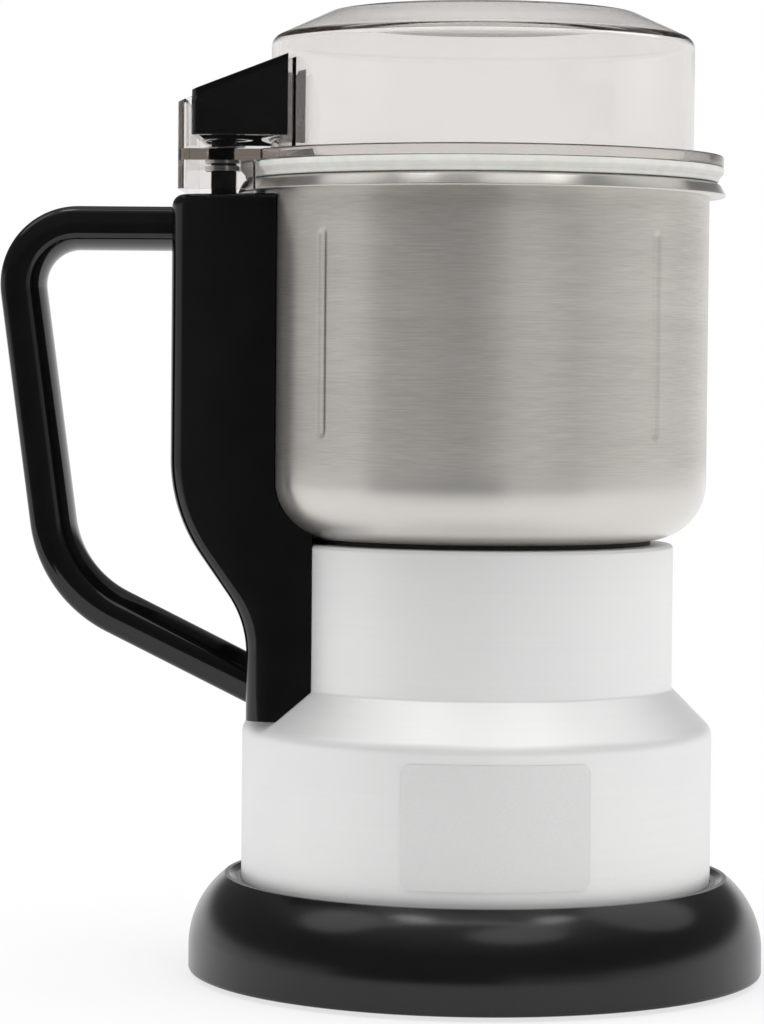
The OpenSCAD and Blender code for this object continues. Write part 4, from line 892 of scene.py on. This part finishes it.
section += arc(faceTop, edge - w, edge, 180, 270, 8) + [(p, -y) for p, y in crowned[::-1]]
rings = [
    [(q.x - p * math.sin(a), y, q.y + p * math.cos(a)) for p, y in section] for q, a in gripLine()]
loop = loft("handleLoop", rings, 30)
columnCut = loft("columnCut", [columnSlice(x, z, 1e-3) for x, z in side], 25)
loop = carve(loop, columnCut, crease=30)
cutZ, cutLong = grip["neckCut"]
neckCut = rod("neckCut", (0, 0, cutZ), body["neck"] + grip["neckGap"], cutLong, "z", 96)
loop = carve(loop, neckCut, crease=30)
seat(loop, glossAbs, "housing", "black_gloss", "handle_grip")
print("handle loop made")

# Lid: a clear cup with a flange, and a box on the handle's side that holds the button
low, high = extent("lid")
sealHigh = extent("lid_seal")[1]
lid = {
    "r": 52.7,
    "wall": 2.0,
    "flangeThick": 2.8,
    "spigot": 5.0,
    "bevel": 5.6,  # height of the sloping ring round the flat top
    "flat": 38.0,
    "shoulder": 3.0,
    "shoulderA": 65.0,
    "boxHalf": 27.0,
    "boxWall": 1.8,
    "boxCorner": 3.0,
    "boxIn": 32.7,
    "boxSkirt": 7.0,
    "boxEdge": 14.0,  # height of the box's outer edge over the flange
    "boxSlope": 21.0,
    "rimClear": 61.15,
    "cutDeep": 20,  # how far cutters run below the flange
    "cupCut": (10, 90),  # height of the middle of the cup's cutter over the flange, and its length
}
flangeZ = sealHigh.z
flangeTop = flangeZ + lid["flangeThick"]
flangeR = sealHigh.x
wallTop = high.z - lid["bevel"] - lid["shoulder"]
boxX = -low.x
cupIn = lid["r"] - lid["wall"]
cupLine = rounded([
    (cupIn, flangeZ - lid["spigot"], 0.5), (lid["r"], flangeZ - lid["spigot"], 0.5),
    (lid["r"], flangeZ, 0.3), (flangeR, flangeZ, 0.4), (flangeR, flangeTop, 0.5), (lid["r"], flangeTop, 0.5),
    (lid["r"], wallTop, 0)], 4)
cupLine += arc(lid["r"] - lid["shoulder"], wallTop, lid["shoulder"], 0, lid["shoulderA"], 10)[1:]
underTop = high.z - lid["wall"]
cupLine += [(lid["flat"] + 0.6, high.z - 0.2), (lid["flat"] - 0.3, high.z), (0, high.z), (0, underTop)]
cupLine += [(lid["flat"] - 0.9, underTop), (lid["flat"] - 0.2, underTop - 0.2)]
cupLine += arc(lid["r"] - lid["shoulder"], wallTop, lid["shoulder"] - lid["wall"], lid["shoulderA"], 0, 6)
cup = lathe("clearLid", cupLine, crease=40)


def boxRing(x, half, corner, off, height):  # plan of the box, moved inwards by off, at height(distance)
    arcs = arc(-x + corner, half - corner, corner - off, 90, 180, 8)
    plan = [(-lid["boxIn"], half - off)] + arcs
    plan += [(px, -py) for px, py in plan[::-1]]
    return [(px, py, height(-px)) for px, py in plan]


def boxTop(x):
    return flangeZ + lid["boxEdge"] + (boxX - x) * math.tan(math.radians(lid["boxSlope"]))


def boxPart(name, x, half, corner, off, bottom, top):
    ends = [edge if callable(edge) else (lambda px, z=edge: z) for edge in (bottom, top)]
    return loft(name, [boxRing(x, half, corner, off, edge) for edge in ends], 40)


boxSize = (boxX, lid["boxHalf"], lid["boxCorner"])
cutDeep = lid["cutDeep"]
cupCutUp, cupCutLong = lid["cupCut"]
box = boxPart("lidBox", *boxSize, 0, flangeZ - lid["boxSkirt"], boxTop)
box = carve(box, boxPart("boxAbove", *boxSize, lid["boxWall"], flangeTop, high.z + 5))
box = carve(box, boxPart("boxBelow", *boxSize, lid["boxWall"], flangeZ - cutDeep, flangeZ))
box = carve(box, rod("rimClear", (0, 0, flangeZ - cutDeep / 2), lid["rimClear"], cutDeep, "z", 180))
cupMiddle = lid["r"] - lid["wall"] / 2
box = carve(box, rod("cupClear", (0, 0, flangeZ + cupCutUp), cupMiddle, cupCutLong, "z", 180))
box = carve(box, squareCut("stemWay", flangeZ - 1, flangeTop + 1))
cup = carve(cup, box, "UNION", 40)
seat(cup, clearSan, "lid", "clear_plastic", "lid")
print("lid made:", len(cup.data.polygons), "faces")

# Start button: a wedge with soft edges in the box, a boss for the spring and a square stem
low, high = extent("start_button")
button = {
    "half": high.y,
    "corner": 2.0,
    "proud": 1.9,
    "wall": 1.8,
    "lidGap": 0.6,
    "under": 208.2,
    "pocketR": 5.53,
    "pocketTop": 216.4,
    "bossWall": 1.6,
    "bossZ": (196, 226),
    "stem": 6.2,
    "stemEdge": 0.5,
    "groove": (200.35, 201.75),
    "grooveShare": 0.82,  # of the stem's width
    "tipShare": 0.86,
    "lidCut": (220, 60),  # height of the middle of the lid's cutter, and its length
    "softEdge": 0.5,
}
buttonX = -low.x


def buttonTop(lift):
    return lambda x: boxTop(x) + button["proud"] - lift


def lidClear(extra):  # cuts clear of the lid's wall
    cutZ, cutLong = button["lidCut"]
    return rod("lidClear", (0, 0, cutZ), lid["r"] + button["lidGap"] + extra, cutLong, "z", 180)


def shrunk(plan, share):  # towards the stem's own axis
    return [(stemAt[0] + (x - stemAt[0]) * share, y * share) for x, y in plan]


buttonSize = (buttonX, button["half"], button["corner"])
wedge = boxPart("startButton", *buttonSize, 0, button["under"], buttonTop(0))
wedge = carve(wedge, lidClear(0))
inner = boxPart("buttonInside", *buttonSize, button["wall"], button["under"] - 1, buttonTop(button["wall"]))
inner = carve(inner, lidClear(button["wall"]))
stemAt = (-column["stemX"], 0)
bossLow, bossHigh = button["bossZ"]
bossR = button["pocketR"] + button["bossWall"]
boss = rod("buttonBoss", (*stemAt, (bossLow + bossHigh) / 2), bossR, bossHigh - bossLow, "z")
inner = carve(inner, boss)
wedge = carve(wedge, inner)
wedge = carve(wedge, rod("springPocket", (*stemAt, button["pocketTop"] - 10), button["pocketR"], 20, "z"))
stemHalf = button["stem"] / 2
stemPlan = rounded([(stemAt[0] + a * stemHalf, b * stemHalf, button["stemEdge"]) for a, b in quarters], 3)
neckPlan, tipPlan = shrunk(stemPlan, button["grooveShare"]), shrunk(stemPlan, button["tipShare"])
grooveLow, grooveHigh = button["groove"]
stemRings = [
    (tipPlan, low.z), (stemPlan, low.z + button["stemEdge"]), (stemPlan, grooveLow), (neckPlan, grooveLow),
    (neckPlan, grooveHigh), (stemPlan, grooveHigh), (stemPlan, button["pocketTop"] + 1)]
stem = loft("buttonStem", [[(x, y, z) for x, y in plan] for plan, z in stemRings], 30)
wedge = carve(wedge, stem, "UNION", 35)
seat(softEdges(wedge, button["softEdge"], 3, 40), glossAbs, "button", "black_gloss", "start_button")

# Button spring: round wire, wound in six turns, closer at both ends
low, high = extent("button_spring")
spring = {"wire": 0.7, "turns": 6, "steps": 32, "sides": 12, "crowd": 0.1}
springR = (high.y - low.y - spring["wire"]) / 2
rise = high.z - low.z - spring["wire"]
rings = []
count = spring["turns"] * spring["steps"]
for i in range(count + 1):
    a = 2 * math.pi * i / spring["steps"]
    share = i / count
    crowd = spring["crowd"] * math.sin(4 * math.pi * share) / math.pi
    z = low.z + spring["wire"] / 2 + rise * (share - crowd)
    ring = []
    for j in range(spring["sides"]):
        b = 2 * math.pi * j / spring["sides"]
        r = springR + spring["wire"] / 2 * math.cos(b)
        ring.append((stemAt[0] + r * math.cos(a), r * math.sin(a), z + spring["wire"] / 2 * math.sin(b)))
    rings.append(ring)
coil = loft("buttonSpring", rings, 60)
seat(coil, finishes["bright_steel"], "lid", "bright_steel", "button_spring")
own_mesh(coil)
print("button and spring made")
